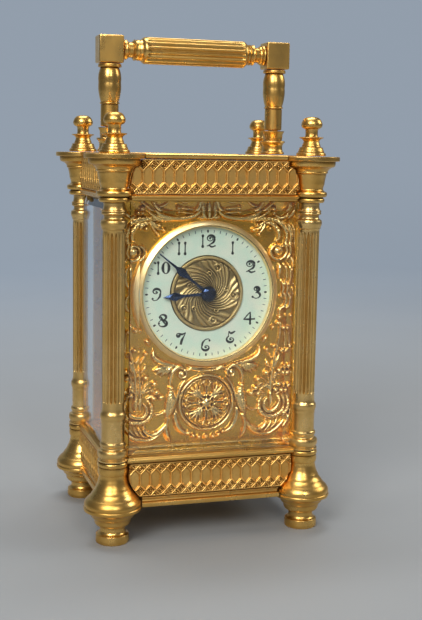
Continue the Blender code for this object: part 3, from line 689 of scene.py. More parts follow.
def plinth():
    low, high = levels("base_plate")
    notch = radius_at(FOOT, 13.8) + GAP
    path = (
        (0.3, low), (-0.45, low + 0.25), (-0.55, low + 1.7, -0.1), (-0.3, low + 1.9), (0.25, low + 2.1),
        (0.75, low + 3.1, 0.35), (0.75, low + 3.3), (0.3, low + 3.4), (0.3, high - 0.1, -0.25), (0.5, high),
    )
    stand_in("base_plate", moulding(path, notch), satin_brass, 30)


def sill():
    """The ledge under the glasses. No hole is cut in it for the door's lower pin, whose place lies beneath the
    door.
    """
    low, high = levels("base_sill")
    notch = radius_at(COLUMN_FOOT, 31.6) + GAP
    path = (
        (0.5, low), (0.0, low + 0.2), (-0.35, low + 1.3, -0.12), (0.1, low + 1.6), (0.2, high - 0.2),
        (0.5, high),
    )
    stand_in("base_sill", moulding(path, notch), satin_brass, 30)


def frame_with_opening(path, notch, half_x, half_y, chamfer):
    """A slab with a moulded edge and an open middle whose upper edge is chamfered."""
    rings = bowed(path)
    low, high = rings[0][1], rings[-1][1]
    solid = moulding(path, notch)
    reach = chamfer + 1.0
    opening = stacked([
        [(x, y, height) for x, y in rectangle(-half_x - grow, half_x + grow, -half_y - grow, half_y + grow)]
        for grow, height in ((0, low - 1), (0, high - chamfer), (reach, high + 1))
    ])
    return combined(solid, [("DIFFERENCE", opening)])


def top_rail():
    low, high = levels("top_rail")
    notch = radius_at(CAPITAL, 129.9) + GAP
    path = (
        (0.6, low), (0.3, low + 0.2), (0.2, low + 0.9), (-0.2, low + 1.1), (-0.35, high - 0.5, -0.2),
        (0.3, high),
    )
    stand_in("top_rail", frame_with_opening(path, notch, 31.0, 22.5, 0.3), satin_brass, 30)


def top_frame():
    low, high = levels("top_frame")
    notch = radius_at(CAPITAL, 143.05) + GAP
    path = ((0.5, low), (0.0, low + 0.15), (-0.6, high - 0.7, -0.15), (-0.6, high - 0.2), (-0.3, high))
    glass_high = span("glass_top")[1]
    lip = 1.2
    half_x, half_y = glass_high.x - lip, glass_high.y - lip
    stand_in("top_frame", frame_with_opening(path, notch, half_x, half_y, 0.6), satin_brass, 30)


# Friezes: a pierced-looking lattice in low relief

LATTICE_PITCH = 4.0
BAR_HALF = 2.2  # half the length of an upright bar
LATTICE_DEPTH = 0.75
FRIEZE_GRID = 0.16  # spacing of a panel's points


def distance_to(x, z, start, end):
    """Distance of points from a straight stretch."""
    along_x, along_z = end[0] - start[0], end[1] - start[1]
    share = np.clip(((x - start[0]) * along_x + (z - start[1]) * along_z) / (along_x**2 + along_z**2), 0, 1)
    return np.hypot(x - start[0] - share * along_x, z - start[1] - share * along_z)


def ridge(distance, half_width):
    return np.sqrt(np.clip(1 - (distance / half_width) ** 2, 0, 1))


def lattice(x, z, half_height):
    """Heights of the lattice: bars that part into crossing arms, with nested diamonds between the arms."""
    x = np.abs((x / LATTICE_PITCH + 0.5) % 1.0 - 0.5) * LATTICE_PITCH
    z = np.abs(z)
    half = LATTICE_PITCH / 2
    knots = ((0, 0), (0, BAR_HALF), (half, BAR_HALF + half), (0, BAR_HALF + 2 * half))
    distance = np.minimum.reduce([distance_to(x, z, *ends) for ends in zip(knots, knots[1:])])
    height = ridge(distance, 0.4)
    for centre in ((0, BAR_HALF + half), (half, BAR_HALF + 2 * half)):
        away = np.abs(x - centre[0]) + np.abs(z - centre[1])
        height = np.maximum(height, 0.75 * ridge(np.abs(away - 1.05), 0.3))
        height = np.maximum(height, 0.8 * ridge(away, 0.5))
    border = np.clip((z - half_height + 0.45) / 0.12, 0, 1)
    grain = 0.03 * np.sin(x * 9.1 + z * 3.3) * np.sin(z * 7.7)
    return np.maximum(height, 0.9 * border) + grain


def grid_of(size):
    """The numbering of a grid's points and the quads between them."""
    index = np.arange(size[0] * size[1]).reshape(size)
    quads = np.stack((index[:-1, :-1], index[:-1, 1:], index[1:, 1:], index[1:, :-1]), -1).reshape(-1, 4)
    return index, quads


def field(across, up, forward, back, place):
    """A closed panel whose front is a height field over a grid and whose back is flat."""
    front = place(across, up, forward)
    index, quads = grid_of(across.shape)
    loop = np.concatenate((index[0, :-1], index[:-1, -1], index[-1, :0:-1], index[:0:-1, 0]))
    behind = place(across, up, np.full(across.shape, back)).reshape(-1, 3)[loop]
    size = len(loop)
    after = (np.arange(size) + 1) % size
    start = index.size
    sides = np.stack((loop, start + np.arange(size), start + after, loop[after]), -1)
    faces = [tuple(face) for face in np.concatenate((quads, sides)).tolist()]
    faces.append(tuple(range(start + size - 1, start - 1, -1)))
    return np.concatenate((front.reshape(-1, 3), behind)), faces


# Where a point lies on each face, from its place across, up and forward as seen from outside
FACES = {
    "front": lambda across, up, forward: np.stack((across, -forward, up), -1),
    "back": lambda across, up, forward: np.stack((-across, forward, up), -1),
    "right": lambda across, up, forward: np.stack((forward, across, up), -1),
    "left": lambda across, up, forward: np.stack((-forward, -across, up), -1),
}


def frieze(row, side, post):
    """One panel. Its ends follow the posts, a gap away from them."""
    node = f"{row}_frieze_{side}"
    low, high = span(node)
    long_side = side in ("front", "back")
    half_pitch = POST_X if long_side else POST_Y
    face = FRONT_FACE if long_side else SIDE_FACE
    thickness = high.y - low.y if long_side else high.x - low.x
    rows = np.linspace(low.z, high.z, int((high.z - low.z) / FRIEZE_GRID))
    halves = np.array([half_pitch - radius_at(post, z) - GAP for z in rows])
    share = np.linspace(-1, 1, int(2 * halves.max() / FRIEZE_GRID))
    across = share[None, :] * halves[:, None]
    up = np.repeat(rows[:, None], len(share), 1)
    half_height = (high.z - low.z) / 2
    height = lattice(across, up - (low.z + high.z) / 2, half_height)
    forward = face - LATTICE_DEPTH + LATTICE_DEPTH * height
    stand_in(node, field(across, up, forward, face - thickness, FACES[side]), gilt_relief, 60, loose=False)


def friezes():
    for side in FACES:
        frieze("base", side, FOOT)
        frieze("top", side, CAPITAL)


# Glasses and back door


def glasses():
    """The panes are the CAD solids themselves."""
    for node in ("glass_front", "glass_left", "glass_right", "glass_top", "back_door_glass"):
        materials = frame["nodes"][node].data.materials
        materials.clear()
        materials.append(bevelled_glass)


def nested_frame(rings):
    """A picture frame from (half width, low, high, depth) rings, joined in turn and back to the first."""
    loops = [
        [(-half, low, depth), (half, low, depth), (half, high, depth), (-half, high, depth)]
        for half, low, high, depth in rings
    ]
    points = np.array([point for loop in loops for point in loop], float)
    faces = []
    for k in range(len(loops)):
        after = (k + 1) % len(loops)
        faces += skin(range(4 * k, 4 * k + 4), range(4 * after, 4 * after + 4))
    return points, faces


JOINTS = {joint["child"]: joint for joint in frame["joints"]}


def axis_of(body):
    return Vector(JOINTS[body]["pos_m"]) / MM


def door():
    """The glazed back door with a moulded frame, hinge pins and a turned pull knob."""
    low, high = span("back_door_frame")
    pin = 1.6  # the CAD frame's box includes its two pins
    bottom, top = low.z + pin, high.z - pin
    half = high.x
    sight = 4.5
    profile = (
        (0.15, low.y), (0.0, low.y + 0.15), (0.0, high.y - 0.5), (0.4, high.y - 0.1), (0.6, high.y),
        (sight - 1.6, high.y), (sight - 1.3, high.y - 0.25), (sight - 0.9, high.y - 0.3),
        (sight - 0.2, high.y - 0.9), (sight, high.y - 1.0), (sight, low.y + 1.95),
        (sight - 1.3, low.y + 1.95), (sight - 1.3, low.y),
    )
    rings = [(half - inset, bottom + inset, top - inset, depth) for inset, depth in profile]
    frame_shape = turned_to(nested_frame(rings), (1, 0, 0), (0, 0, 1), (0, 1, 0))
    hinge = axis_of("back_door")
    pin_path = ((0, -pin), (0.6, -pin), (0.8, 0.2 - pin), (0.8, 1.5), (0, 1.5))
    lower = placed(spun(pin_path, 24), hinge.x, hinge.y, bottom)
    upper = placed(turned_to(spun(pin_path, 24), (1, 0, 0), (0, -1, 0), (0, 0, -1)), hinge.x, hinge.y, top)
    stand_in("back_door_frame", joined(frame_shape, lower, upper), satin_brass, 25)
    knob = (
        (0, 0), (0.8, 0), (0.8, 2.9), (1.7, 2.95), (1.9, 3.15), (1.8, 3.3), (1.2, 3.8, -0.15), (1.2, 4.6),
        (2.3, 5.2, -0.1), (2.6, 5.8, 0.1), (2.5, 6.9, 0.15), (1.9, 7.5, 0.1), (0, 7.8, 0.15),
    )
    knob_shape = turned_to(spun(bowed(knob), 64), (1, 0, 0), (0, 0, -1), (0, 1, 0))
    at = middle("back_door_knob")
    stand_in("back_door_knob", placed(knob_shape, at.x, span("back_door_knob")[0].y, at.z), satin_brass)


# Carrying handle

STUD = (
    (0, 145.3), (4.4, 145.3), (4.65, 145.5), (4.65, 146.1, 0.1), (4.3, 146.4), (3.95, 147.9, -0.12),
    (4.3, 149.4, -0.15), (4.9, 149.9, -0.1), (4.9, 150.4, 0.1), (4.7, 150.6), (0, 150.6),
)
CUP = ((0, 150.3), (3.5, 150.3), (3.6, 151.1, -0.05), (4.55, 154.2, -0.25), (4.55, 154.5), (0, 154.5))
LEG = (
    (0, 154.8), (3.0, 154.8), (3.45, 155.1), (3.45, 162.9), (3.25, 163.1), (3.25, 163.3), (3.65, 163.4),
    (3.65, 163.9, 0.15), (3.4, 164.1), (3.55, 164.5), (4.1, 167.0, 0.05), (4.3, 171.5, 0.18),
    (3.65, 176.7, 0.35), (3.5, 176.9), (4.2, 177.15), (4.4, 177.8, 0.2), (4.2, 178.4, 0.1), (0, 178.4),
)
GRIP_END = (
    (0, 28.45), (3.6, 28.45), (3.85, 28.3), (3.85, 27.3, 0.12), (3.5, 27.1), (2.9, 26.2, -0.15),
    (2.9, 24.7), (3.6, 24.3, -0.1), (4.0, 24.0), (4.0, 22.5, 0.15), (3.7, 22.3), (4.1, 21.2, -0.05),
    (5.1, 20.0, -0.1),
)
GRIP_HALF, GRIP_RADIUS, GRIP_FLUTES, GRIP_DEPTH, GRIP_POINT = 19.6, 5.1, 16, 0.55, 1.6
CHEEK, KNUCKLE, PIN_RADIUS = 2.0, 2.2, 0.8  # radii round the handle's joint
TONGUE_HALF = 1.2  # half the tongue's thickness


def handle_base(side, height):
    """A stud and half a cup, slotted for the leg's tongue, which turns on a pin at a height."""
    slot = TONGUE_HALF + GAP
    cup = spun(bowed(CUP), 80)
    keep = box((-6, -6, 149), (6, -0.6, 156))
    half_cup = combined(cup, [("INTERSECT", keep)])
    cheeks = placed(sideways(disc(CHEEK, -3.4, 3.4)), z=height)
    seat = placed(box((-3.2, -1.9, -2.3), (3.2, 1.9, -0.2)), z=height)
    room = placed(box((-slot, -KNUCKLE - GAP, -KNUCKLE - GAP), (slot, 6.0, 4.0)), z=height)
    pin = placed(sideways(disc(PIN_RADIUS, -slot - 0.5, slot + 0.5, 24)), z=height)
    steps = [("UNION", half_cup), ("UNION", cheeks), ("UNION", seat), ("DIFFERENCE", room), ("UNION", pin)]
    shape = combined(spun(bowed(STUD), 80), steps)
    stand_in(f"handle_base_{side}", placed(shape, middle(f"handle_base_{side}").x), satin_brass, 30)


def handle_leg(side, height):
    """A turned leg with a flat tongue, round at its end and pierced for the pin."""
    half_turn = np.linspace(math.pi, 2 * math.pi, 25)
    end = [(KNUCKLE * math.cos(angle), KNUCKLE * math.sin(angle)) for angle in half_turn]
    lug = [(-KNUCKLE, 3.2), *end, (KNUCKLE, 3.2)]
    tongue = pierced(lug, [circle(PIN_RADIUS + 0.25, steps=24)], -TONGUE_HALF, TONGUE_HALF)
    tongue = turned_to(tongue, (0, 1, 0), (0, 0, 1), (1, 0, 0))
    shape = joined(spun(bowed(LEG), 96), placed(tongue, z=height))
    stand_in(f"handle_leg_{side}", placed(shape, middle(f"handle_leg_{side}").x), satin_brass, 30)


def handle():
    """Two bases, legs and blocks with softened edges, and the fluted grip between the blocks."""
    height = axis_of("handle").z
    for side in ("left", "right"):
        handle_base(side, height)
        handle_leg(side, height)
        rounded(stand_in(f"handle_block_{side}", box(*span(f"handle_block_{side}")), satin_brass), 0.55, 3)
    grip = middle("handle_grip")
    ends = bowed(GRIP_END)
    path = [(radius, -along) for radius, along in ends]
    path += [(GRIP_RADIUS, along) for along in shaft_heights(-GRIP_HALF, GRIP_HALF, GRIP_POINT, 8)]
    path += reversed(ends)
    cut = fluting(GRIP_FLUTES, GRIP_DEPTH, -GRIP_HALF, GRIP_HALF, GRIP_POINT)
    shape = spun(path, GRIP_FLUTES * 12, cut=cut)
    stand_in("handle_grip", placed(sideways(shape), grip.x, grip.y, grip.z), satin_brass, 30)
# Dial


SWELL = 1.2  # how much fuller the cast strokes stand than their drawn half widths


class Relief:
    """A height map over (x, z), raised by strokes and beads. The highest one wins."""

    def __init__(self, x0, x1, z0, z1, pitch):
        self.xs = np.linspace(x0, x1, int(round((x1 - x0) / pitch)) + 1)
        self.zs = np.linspace(z0, z1, int(round((z1 - z0) / pitch)) + 1)
        self.x, self.z = np.meshgrid(self.xs, self.zs)
        self.height = np.zeros_like(self.x)

    def window(self, points, reach):
        """The rows and columns of the map that lie within reach of some (x, z) points."""
        low, high = np.min(points, 0) - reach, np.max(points, 0) + reach
        columns = slice(*np.searchsorted(self.xs, (low[0], high[0])))
        rows = slice(*np.searchsorted(self.zs, (low[1], high[1])))
        return rows, columns

    def bead(self, x, z, radius, height):
        radius *= SWELL
        area = self.window([(x, z)], radius)
        dome = height * ridge(np.hypot(self.x[area] - x, self.z[area] - z), radius)
        self.height[area] = np.maximum(self.height[area], dome)

    def ring(self, x, z, radius, half_width, height):
        distance = np.abs(np.hypot(self.x - x, self.z - z) - radius)
        self.height = np.maximum(self.height, height * ridge(distance, half_width))

    def stroke(self, points, height, groove=0.0, ribs=0.0, per=8):
        """A raised stem or leaf along a smooth curve through (x, z, half width) points. groove is the half
        width of its sunk midrib and ribs the spacing of its slanting veins."""
        curve = smooth_curve([(x, z, width * SWELL) for x, z, width in points], per)
        run = 0.0
        for start, end in zip(curve, curve[1:]):
            step = end[:2] - start[:2]
            length = math.hypot(*step)
            if length < 1e-6:
                continue
            area = self.window([start[:2], end[:2]], max(start[2], end[2], 0.05))
            x, z = self.x[area] - start[0], self.z[area] - start[1]
            share = np.clip((x * step[0] + z * step[1]) / length**2, 0, 1)
            distance = np.hypot(x - share * step[0], z - share * step[1])
            width = np.maximum(start[2] + (end[2] - start[2]) * share, 0.05)
            raised = height * ridge(distance, width) * np.minimum(1, 0.45 + 0.55 * width / max(curve[:, 2]))
            if groove:
                raised = raised - 0.45 * height * ridge(distance, groove) * (width > 1.6 * groove)
            if ribs:
                phase = (run + share * length - distance * 0.9) / ribs
                raised = raised * (1 - 0.32 * (0.5 + 0.5 * np.cos(2 * math.pi * phase)))
            self.height[area] = np.maximum(self.height[area], raised)
            run += length

    def volute(self, x, z, radius, start, turns, half_width, height, inner=0.25, hand=1):
        """A spiral stem that winds inwards from an angle, given in degrees."""
        count = max(6, int(turns * 10))
        shares = np.arange(count + 1) / count
        angles = math.radians(start) + hand * 2 * math.pi * turns * shares
        radii = radius * (1 - (1 - inner) * shares)
        widths = half_width * (1 - 0.45 * shares)
        points = np.column_stack((x + radii * np.cos(angles), z + radii * np.sin(angles), widths))
        self.stroke(points, height)
        self.bead(x, z, radius * inner + 0.5 * half_width, height * 1.05)


# One half of the mask's scrollwork, for x at or above 0. Each row is a stroke: its height with, where it has
# them, its groove and ribs, and then its (x, z, half width) points.
STROKES = (
    # Palmette over the dial
    ((1.0,), (0, 120.6, 0.2), (0, 123.2, 0.75), (0, 126.8, 0.3)),
    ((1.0, 0.2), (1.0, 121.0, 0.35), (2.2, 122.6, 0.7), (2.5, 126.9, 0.35)),
    ((0.7,), (2.4, 121.0, 0.4), (3.6, 121.6, 0.5), (4.6, 121.3, 0.15)),
    # Long stems from the palmette to the corner
    ((1.05, 0.22), (3.3, 126.6, 0.5), (4.1, 123.6, 0.7), (6.4, 121.9, 0.75), (10.5, 121.1, 0.8),
     (15.0, 121.3, 0.85), (19.2, 122.7, 0.7), (21.6, 125.4, 0.4)),
    ((0.75,), (5.6, 123.0, 0.2), (8.6, 123.2, 0.45), (11.5, 123.6, 0.4)),
    ((0.7,), (6.5, 126.3, 0.2), (9.5, 125.6, 0.45), (12.4, 126.9, 0.3)),
    ((0.7,), (15.2, 126.4, 0.25), (17.2, 124.6, 0.5), (19.2, 123.9, 0.3)),
    ((0.9,), (14.0, 120.3, 0.3), (18.0, 120.8, 0.6), (21.6, 122.2, 0.6), (24.4, 124.4, 0.5),
     (27.6, 126.8, 0.25)),
    ((0.9, 0.2), (27.0, 122.0, 0.3), (29.4, 121.2, 0.6), (32.2, 123.2, 0.7), (33.0, 126.4, 0.3)),
    # Great scroll of the upper corner, winding into its volute
    ((1.15, 0.25, 1.5), (17.0, 119.9, 0.3), (21.5, 120.9, 0.8), (25.8, 120.7, 0.95), (29.6, 118.6, 1.0),
     (31.5, 115.4, 0.95), (31.3, 112.4, 0.75), (30.1, 110.2, 0.4)),
    ((1.05, 0.22, 1.3), (22.0, 119.7, 0.3), (25.6, 118.8, 0.8), (28.0, 116.2, 0.95), (28.3, 113.8, 0.75),
     (27.2, 112.4, 0.35)),
    ((0.7,), (31.8, 118.6, 0.25), (33.1, 115.6, 0.45), (33.0, 112.0, 0.3)),
    # Budding sprig inside the scroll
    ((0.8,), (22.6, 119.9, 0.3), (21.0, 119.0, 0.5), (19.6, 118.4, 0.35)),
    ((0.8,), (22.2, 119.2, 0.3), (20.2, 117.4, 0.5), (17.8, 116.8, 0.3)),
    ((0.8,), (22.6, 118.8, 0.3), (21.4, 116.8, 0.5), (20.1, 115.2, 0.3)),
    # Drops and small scrolls beside the dial
    ((1.1, 0.2), (28.6, 103.6, 0.25), (28.9, 101.2, 0.85), (28.5, 98.0, 0.15)),
    ((0.9, 0.18), (30.6, 103.4, 0.25), (31.9, 100.6, 0.6), (31.6, 96.6, 0.55), (30.4, 94.6, 0.2)),
    ((0.9,), (29.6, 97.2, 0.2), (30.6, 94.4, 0.6), (30.0, 91.6, 0.2)),
    ((1.0, 0.18), (30.4, 92.6, 0.25), (31.9, 90.0, 0.65), (31.3, 87.0, 0.6), (29.2, 86.0, 0.25)),
    ((0.8,), (29.3, 85.4, 0.5), (29.2, 83.6, 0.3)),
    ((0.8,), (31.6, 106.0, 0.3), (32.8, 103.8, 0.55), (32.6, 101.0, 0.2)),
    # Hanging husks down to the lower spray
    ((0.9,), (29.8, 80.4, 0.3), (29.6, 76.0, 0.42), (28.7, 71.0, 0.45), (27.2, 65.0, 0.5),
     (26.4, 57.0, 0.55), (26.2, 51.5, 0.4)),
    ((0.75,), (31.6, 77.6, 0.3), (31.9, 73.0, 0.45), (31.2, 68.6, 0.2)),
    ((1.2, 0.2), (29.9, 68.6, 0.2), (28.6, 65.6, 0.85), (27.3, 62.2, 0.2)),
    ((1.0, 0.15), (22.6, 73.0, 0.2), (23.6, 74.6, 0.7), (24.6, 75.4, 0.2)),
    ((0.7,), (26.4, 66.4, 0.3), (25.0, 68.4, 0.35), (24.2, 70.2, 0.3)),
    ((0.8,), (25.9, 62.8, 0.3), (24.6, 64.4, 0.6), (24.4, 65.8, 0.2)),
    # Lower volute, a bowl of nested leaves
    ((1.15, 0.22, 1.4), (31.4, 51.4, 0.35), (32.3, 48.0, 0.8), (30.8, 44.8, 0.85), (27.6, 43.3, 0.9),
     (24.2, 43.9, 0.85), (21.9, 46.2, 0.8), (21.7, 49.4, 0.6), (23.2, 51.9, 0.3)),
    ((1.1, 0.2), (29.6, 51.4, 0.3), (29.9, 48.6, 0.7), (28.2, 46.2, 0.75), (25.6, 45.4, 0.75),
     (23.9, 46.8, 0.7), (23.8, 49.2, 0.5), (25.0, 50.6, 0.25)),
    ((1.15, 0.2), (26.2, 52.4, 0.7), (26.5, 50.0, 0.8), (26.2, 47.6, 0.3)),
    ((0.8,), (23.9, 52.6, 0.3), (21.6, 53.6, 0.5), (19.6, 53.0, 0.2)),
    ((0.8,), (28.6, 52.2, 0.3), (30.6, 52.8, 0.5), (32.6, 50.6, 0.2)),
    # Double sweep under it
    ((1.0,), (14.6, 44.6, 0.3), (16.4, 41.8, 0.55), (19.0, 39.4, 0.7), (21.8, 38.5, 0.8), (24.2, 39.9, 0.7),
     (24.7, 42.6, 0.3)),
    ((1.0,), (15.2, 43.2, 0.3), (18.2, 38.9, 0.5), (21.8, 36.7, 0.65), (25.6, 36.6, 0.7), (29.4, 38.7, 0.7),
     (32.2, 42.2, 0.6), (33.2, 46.2, 0.3)),
    ((0.8,), (24.2, 37.6, 0.3), (26.0, 39.6, 0.5), (27.0, 42.2, 0.15)),
    ((0.8,), (26.8, 38.6, 0.3), (28.6, 40.6, 0.5), (29.4, 43.2, 0.15)),
    ((0.9,), (31.2, 44.2, 0.2), (32.2, 42.0, 0.55), (31.6, 39.8, 0.2)),
    # Husk with its horn and twig
    ((1.2, 0.22, 1.2), (14.3, 55.8, 0.6), (14.0, 52.4, 1.7), (14.6, 48.6, 1.75), (16.0, 44.4, 0.3)),
    ((1.0,), (13.2, 55.2, 0.3), (12.8, 51.2, 0.65), (13.6, 47.4, 0.2)),
    ((1.15,), (15.2, 44.8, 0.3), (15.9, 41.2, 0.65), (15.4, 37.9, 0.85), (14.1, 35.4, 0.15)),
    ((0.8,), (16.4, 47.6, 0.3), (18.8, 46.3, 0.45), (21.4, 46.8, 0.25)),
    # Scroll over the roundel and the leaf that follows the dial
    ((1.1, 0.2), (8.9, 63.3, 0.4), (11.0, 64.5, 0.75), (13.4, 62.9, 0.8), (14.4, 60.2, 0.65),
     (14.4, 57.2, 0.3)),
    ((1.15, 0.2), (10.6, 64.9, 0.3), (14.6, 65.5, 0.6), (18.4, 66.6, 0.85), (21.0, 68.6, 0.8),
     (21.2, 71.6, 0.15)),
    ((0.8,), (0.0, 62.6, 0.35), (3.6, 62.9, 0.45), (6.6, 63.6, 0.5), (8.2, 62.2, 0.2)),
    ((0.6,), (0.0, 64.0, 0.25), (4.4, 63.9, 0.4), (8.0, 64.9, 0.15)),
    ((0.7,), (8.0, 60.0, 0.2), (10.2, 57.0, 0.45), (11.6, 53.0, 0.45), (12.0, 50.4, 0.2)),
    # Sickle leaf and pearls under the roundel
    ((1.2, 0.25), (6.4, 38.2, 0.3), (9.0, 38.8, 0.75), (11.3, 41.4, 0.95), (12.4, 45.2, 0.8),
     (12.0, 49.0, 0.15)),
)
# (radius, height) and the places of beads
BEADS = (
    ((0.55, 0.9), (0, 121.2)),
    ((0.8, 1.05), (21.4, 125.6)),
    ((0.8, 1.15), (12.0, 123.6)),
    ((0.6, 1.0), (12.3, 126.8), (29.6, 90.8)),
    ((0.85, 1.15), (26.0, 123.2), (29.3, 82.6)),
    ((0.7, 1.0), (25.6, 126.6)),
    ((0.72, 1.15), (19.4, 118.5), (17.7, 116.7), (20.0, 115.1), (24.4, 117.2)),
    ((0.6, 0.9), (33.0, 93.4)),
    ((0.6, 0.95), (32.3, 83.2)),
    ((0.8, 1.1), (26.6, 78.8), (31.0, 78.4), (28.7, 80.4)),
    ((0.75, 1.15), (24.2, 70.1), (27.0, 71.3), (30.3, 69.4), (32.2, 71.0)),
    ((0.95, 1.2), (14.3, 56.4)),
    ((0.78, 1.15), (0, 36.7), (2.8, 36.6), (5.1, 37.3), (7.0, 38.4)),
)
SPRAY = (
    (24.2, 60.8), (20.8, 58.4), (19.9, 55.0), (18.1, 53.0), (21.0, 52.7), (29.5, 61.7), (31.3, 60.6),
    (29.4, 56.2), (32.1, 55.5), (31.9, 63.2), (28.3, 53.9), (30.7, 53.6),
)
FAN = ((16.4, 61.6), (18.4, 61.0), (20.2, 61.9), (21.2, 63.4))


def mask_ornament(art):
    """One half of the mask's scrollwork."""
    for style, *points in STROKES:
        art.stroke(points, *style)
    for (radius, height), *places in BEADS:
        for place in places:
            art.bead(*place, radius, height)
    art.volute(27.7, 108.6, 4.1, 35, 1.35, 0.75, 1.15, 0.26, -1)
    art.volute(9.9, 61.7, 1.9, 130, 1.2, 0.55, 1.1, 0.3, 1)
    # Berries on stalks that bow out from one root
    for x, z in SPRAY:
        art.stroke(((26.2, 54.2, 0.3), ((26.2 + x) / 2, (55.4 + z) / 2 + 1.4, 0.26), (x, z, 0.22)), 0.55)
        art.bead(x, z, 1.0, 1.35)
    # A fan of leaves that hang from the long leaf below the dial
    for k, (x, z) in enumerate(FAN):
        root = 13.6 + 0.8 * k
        bend = (0.6 + root + x) / 2, (64.9 + z) / 2
        art.stroke(((root, 64.9, 0.4), (*bend, 0.75), (x, z, 0.2)), 0.95, 0.18)


ROUNDEL = (0.0, 50.2)
ROUNDEL_RADIUS = 10.7
PETALS = 8
# Height and (along, across, half width) points of a diagonal leaf's side veins
LEAF_VEINS = (
    (0.95, (3.4, 0.1, 0.3), (6.0, 0.8, 0.5), (8.3, 2.1, 0.25)),
    (0.9, (3.0, 0.2, 0.3), (4.9, 1.1, 0.42), (6.3, 2.6, 0.2)),
)


def roundel(art):
    """The ringed rosette low on the mask: a pair of oval loops up, down and to each side, and a fanned leaf
    on each diagonal."""
    centre = np.array(ROUNDEL)
    art.ring(*centre, ROUNDEL_RADIUS, 0.6, 0.85)
    art.ring(*centre, ROUNDEL_RADIUS - 1.3, 0.28, 0.45)
    for k in range(PETALS):
        angle = 2 * math.pi * k / PETALS
        out = np.array((math.sin(angle), math.cos(angle)))
        side = np.array((out[1], -out[0]))

        def at(along, across, *width):
            return (*(centre + out * along + side * across), *width)

        art.stroke((at(1.2, 0, 0.5), at(2.9, 0, 0.35)), 1.15)
        if k % 2:
            art.stroke((at(2.6, 0, 0.35), at(5.6, 0, 0.45), at(8.7, 0, 0.3)), 1.0)
        for way in (-1, 1):
            if k % 2:
                for height, *veins in LEAF_VEINS:
                    art.stroke([at(along, way * across, width) for along, across, width in veins], height)
            else:
                loop = []
                for turn in np.linspace(0, 2 * math.pi, 13):
                    across = 1.55 + 1.2 * math.sin(turn) + 0.3 * math.cos(turn)
                    loop.append(at(5.3 + 2.6 * math.cos(turn), way * across, 0.32))
                art.stroke(loop, 1.0, per=3)
                art.bead(*at(8.35, way * 1.1), 0.55, 1.05)
    art.bead(*centre, 1.7, 1.35)


MASK_RELIEF = 1.6  # from the ground up to an ordinary leaf
MASK_GROUND = 0.5  # how far the ground stands in front of the plate's back
MASK_PITCH = 0.25  # spacing of the height map's points
BORDER_RELIEF = 0.55  # height of the plain border beside and below the scrollwork, as a share of a leaf's
HOLE_LESS = 0.8  # how much smaller than the bezel the mask's hole is


def mask():
    """The gilt mask: a closed plate with its relief on the front and a round hole for the dial."""
    low, high = span("dial_mask")
    half = Relief(0.0, high.x, low.z, high.z, MASK_PITCH)
    mask_ornament(half)
    roundel(half)
    border = np.clip((low.z + 1.5 - half.z) / 0.2, 0, 1) + ridge(half.x - high.x, 0.7)
    half.height = np.maximum(half.height, BORDER_RELIEF * np.minimum(border, 1))
    height = np.concatenate((half.height[:, :0:-1], half.height), 1)
    xs = np.concatenate((-half.xs[:0:-1], half.xs))
    across, up = np.meshgrid(xs, half.zs)
    cloud = 0.05 * np.sin(across * 2.3 + 1.7 * np.sin(up * 0.9)) * np.sin(up * 2.1 + across * 0.7)
    ground = -high.y + MASK_GROUND
    forward = ground + MASK_RELIEF * height + 0.03 * cloud
    hole = DIAL_RADIUS - HOLE_LESS
    dx, dz = across - DIAL.x, up - DIAL.z
    radius = np.hypot(dx, dz)
    inside = radius < hole
    across = np.where(inside, DIAL.x + dx * hole / np.maximum(radius, 1e-6), across)
    up = np.where(inside, DIAL.z + dz * hole / np.maximum(radius, 1e-6), up)
    forward = np.where(inside, ground, forward)
    stand_in("dial_mask", plate_with_hole(across, up, forward, inside, -high.y), mask_gilt, 75, loose=False)


def plate_with_hole(across, up, forward, inside, back):
    """A height field whose cells wholly inside the hole are left out, closed by walls and a flat back."""
    quads = grid_of(across.shape)[1]
    quads = quads[~inside.reshape(-1)[quads].all(1)]
    used, packed = np.unique(quads, return_inverse=True)
    quads = packed.reshape(quads.shape)
    points = FACES["front"](across, up, forward).reshape(-1, 3)[used]
    edges = np.concatenate([quads[:, [k, (k + 1) % 4]] for k in range(4)])
    keys = edges[:, 0] * len(points) + edges[:, 1]
    mirrored = edges[:, 1] * len(points) + edges[:, 0]
    rim = edges[~np.isin(keys, mirrored)]
    ends, place = np.unique(rim, return_inverse=True)
    place = place.reshape(rim.shape) + len(points)
    behind = points[ends].copy()
    behind[:, 1] = -back
    walls = np.column_stack((rim[:, 1], rim[:, 0], place[:, 0], place[:, 1]))
    bm = bmesh.new()
    verts = [bm.verts.new(tuple(point)) for point in behind]
    lines = [bm.edges.new((verts[a], verts[b])) for a, b in (place - len(points)).tolist()]
    bmesh.ops.triangle_fill(bm, edges=lines, use_beauty=False, normal=(0, 1, 0))
    bm.verts.index_update()
    cover = [tuple(v.index + len(points) for v in face.verts) for face in bm.faces]
    if bm.faces[:] and bm.faces[:][0].normal.y < 0:
        cover = [face[::-1] for face in cover]
    bm.free()
    faces = [tuple(face) for face in np.concatenate((quads, walls)).tolist()] + cover
    return np.concatenate((points, behind)), faces


# The dial's round pieces are profiles of (radius, forward)

DIAL_RADIUS = span("dial_bezel")[1].x - DIAL.x
ENAMEL_FRONT = -span("chapter_ring")[0].y
ENAMEL_INNER = 14.6


def on_dial(shape):
    return placed(facing(shape), DIAL.x, 0, DIAL.z)


BEZEL_NOTCHES = 120
BEZEL_LOW = 0.5  # how far the crest stays behind the CAD ring's front


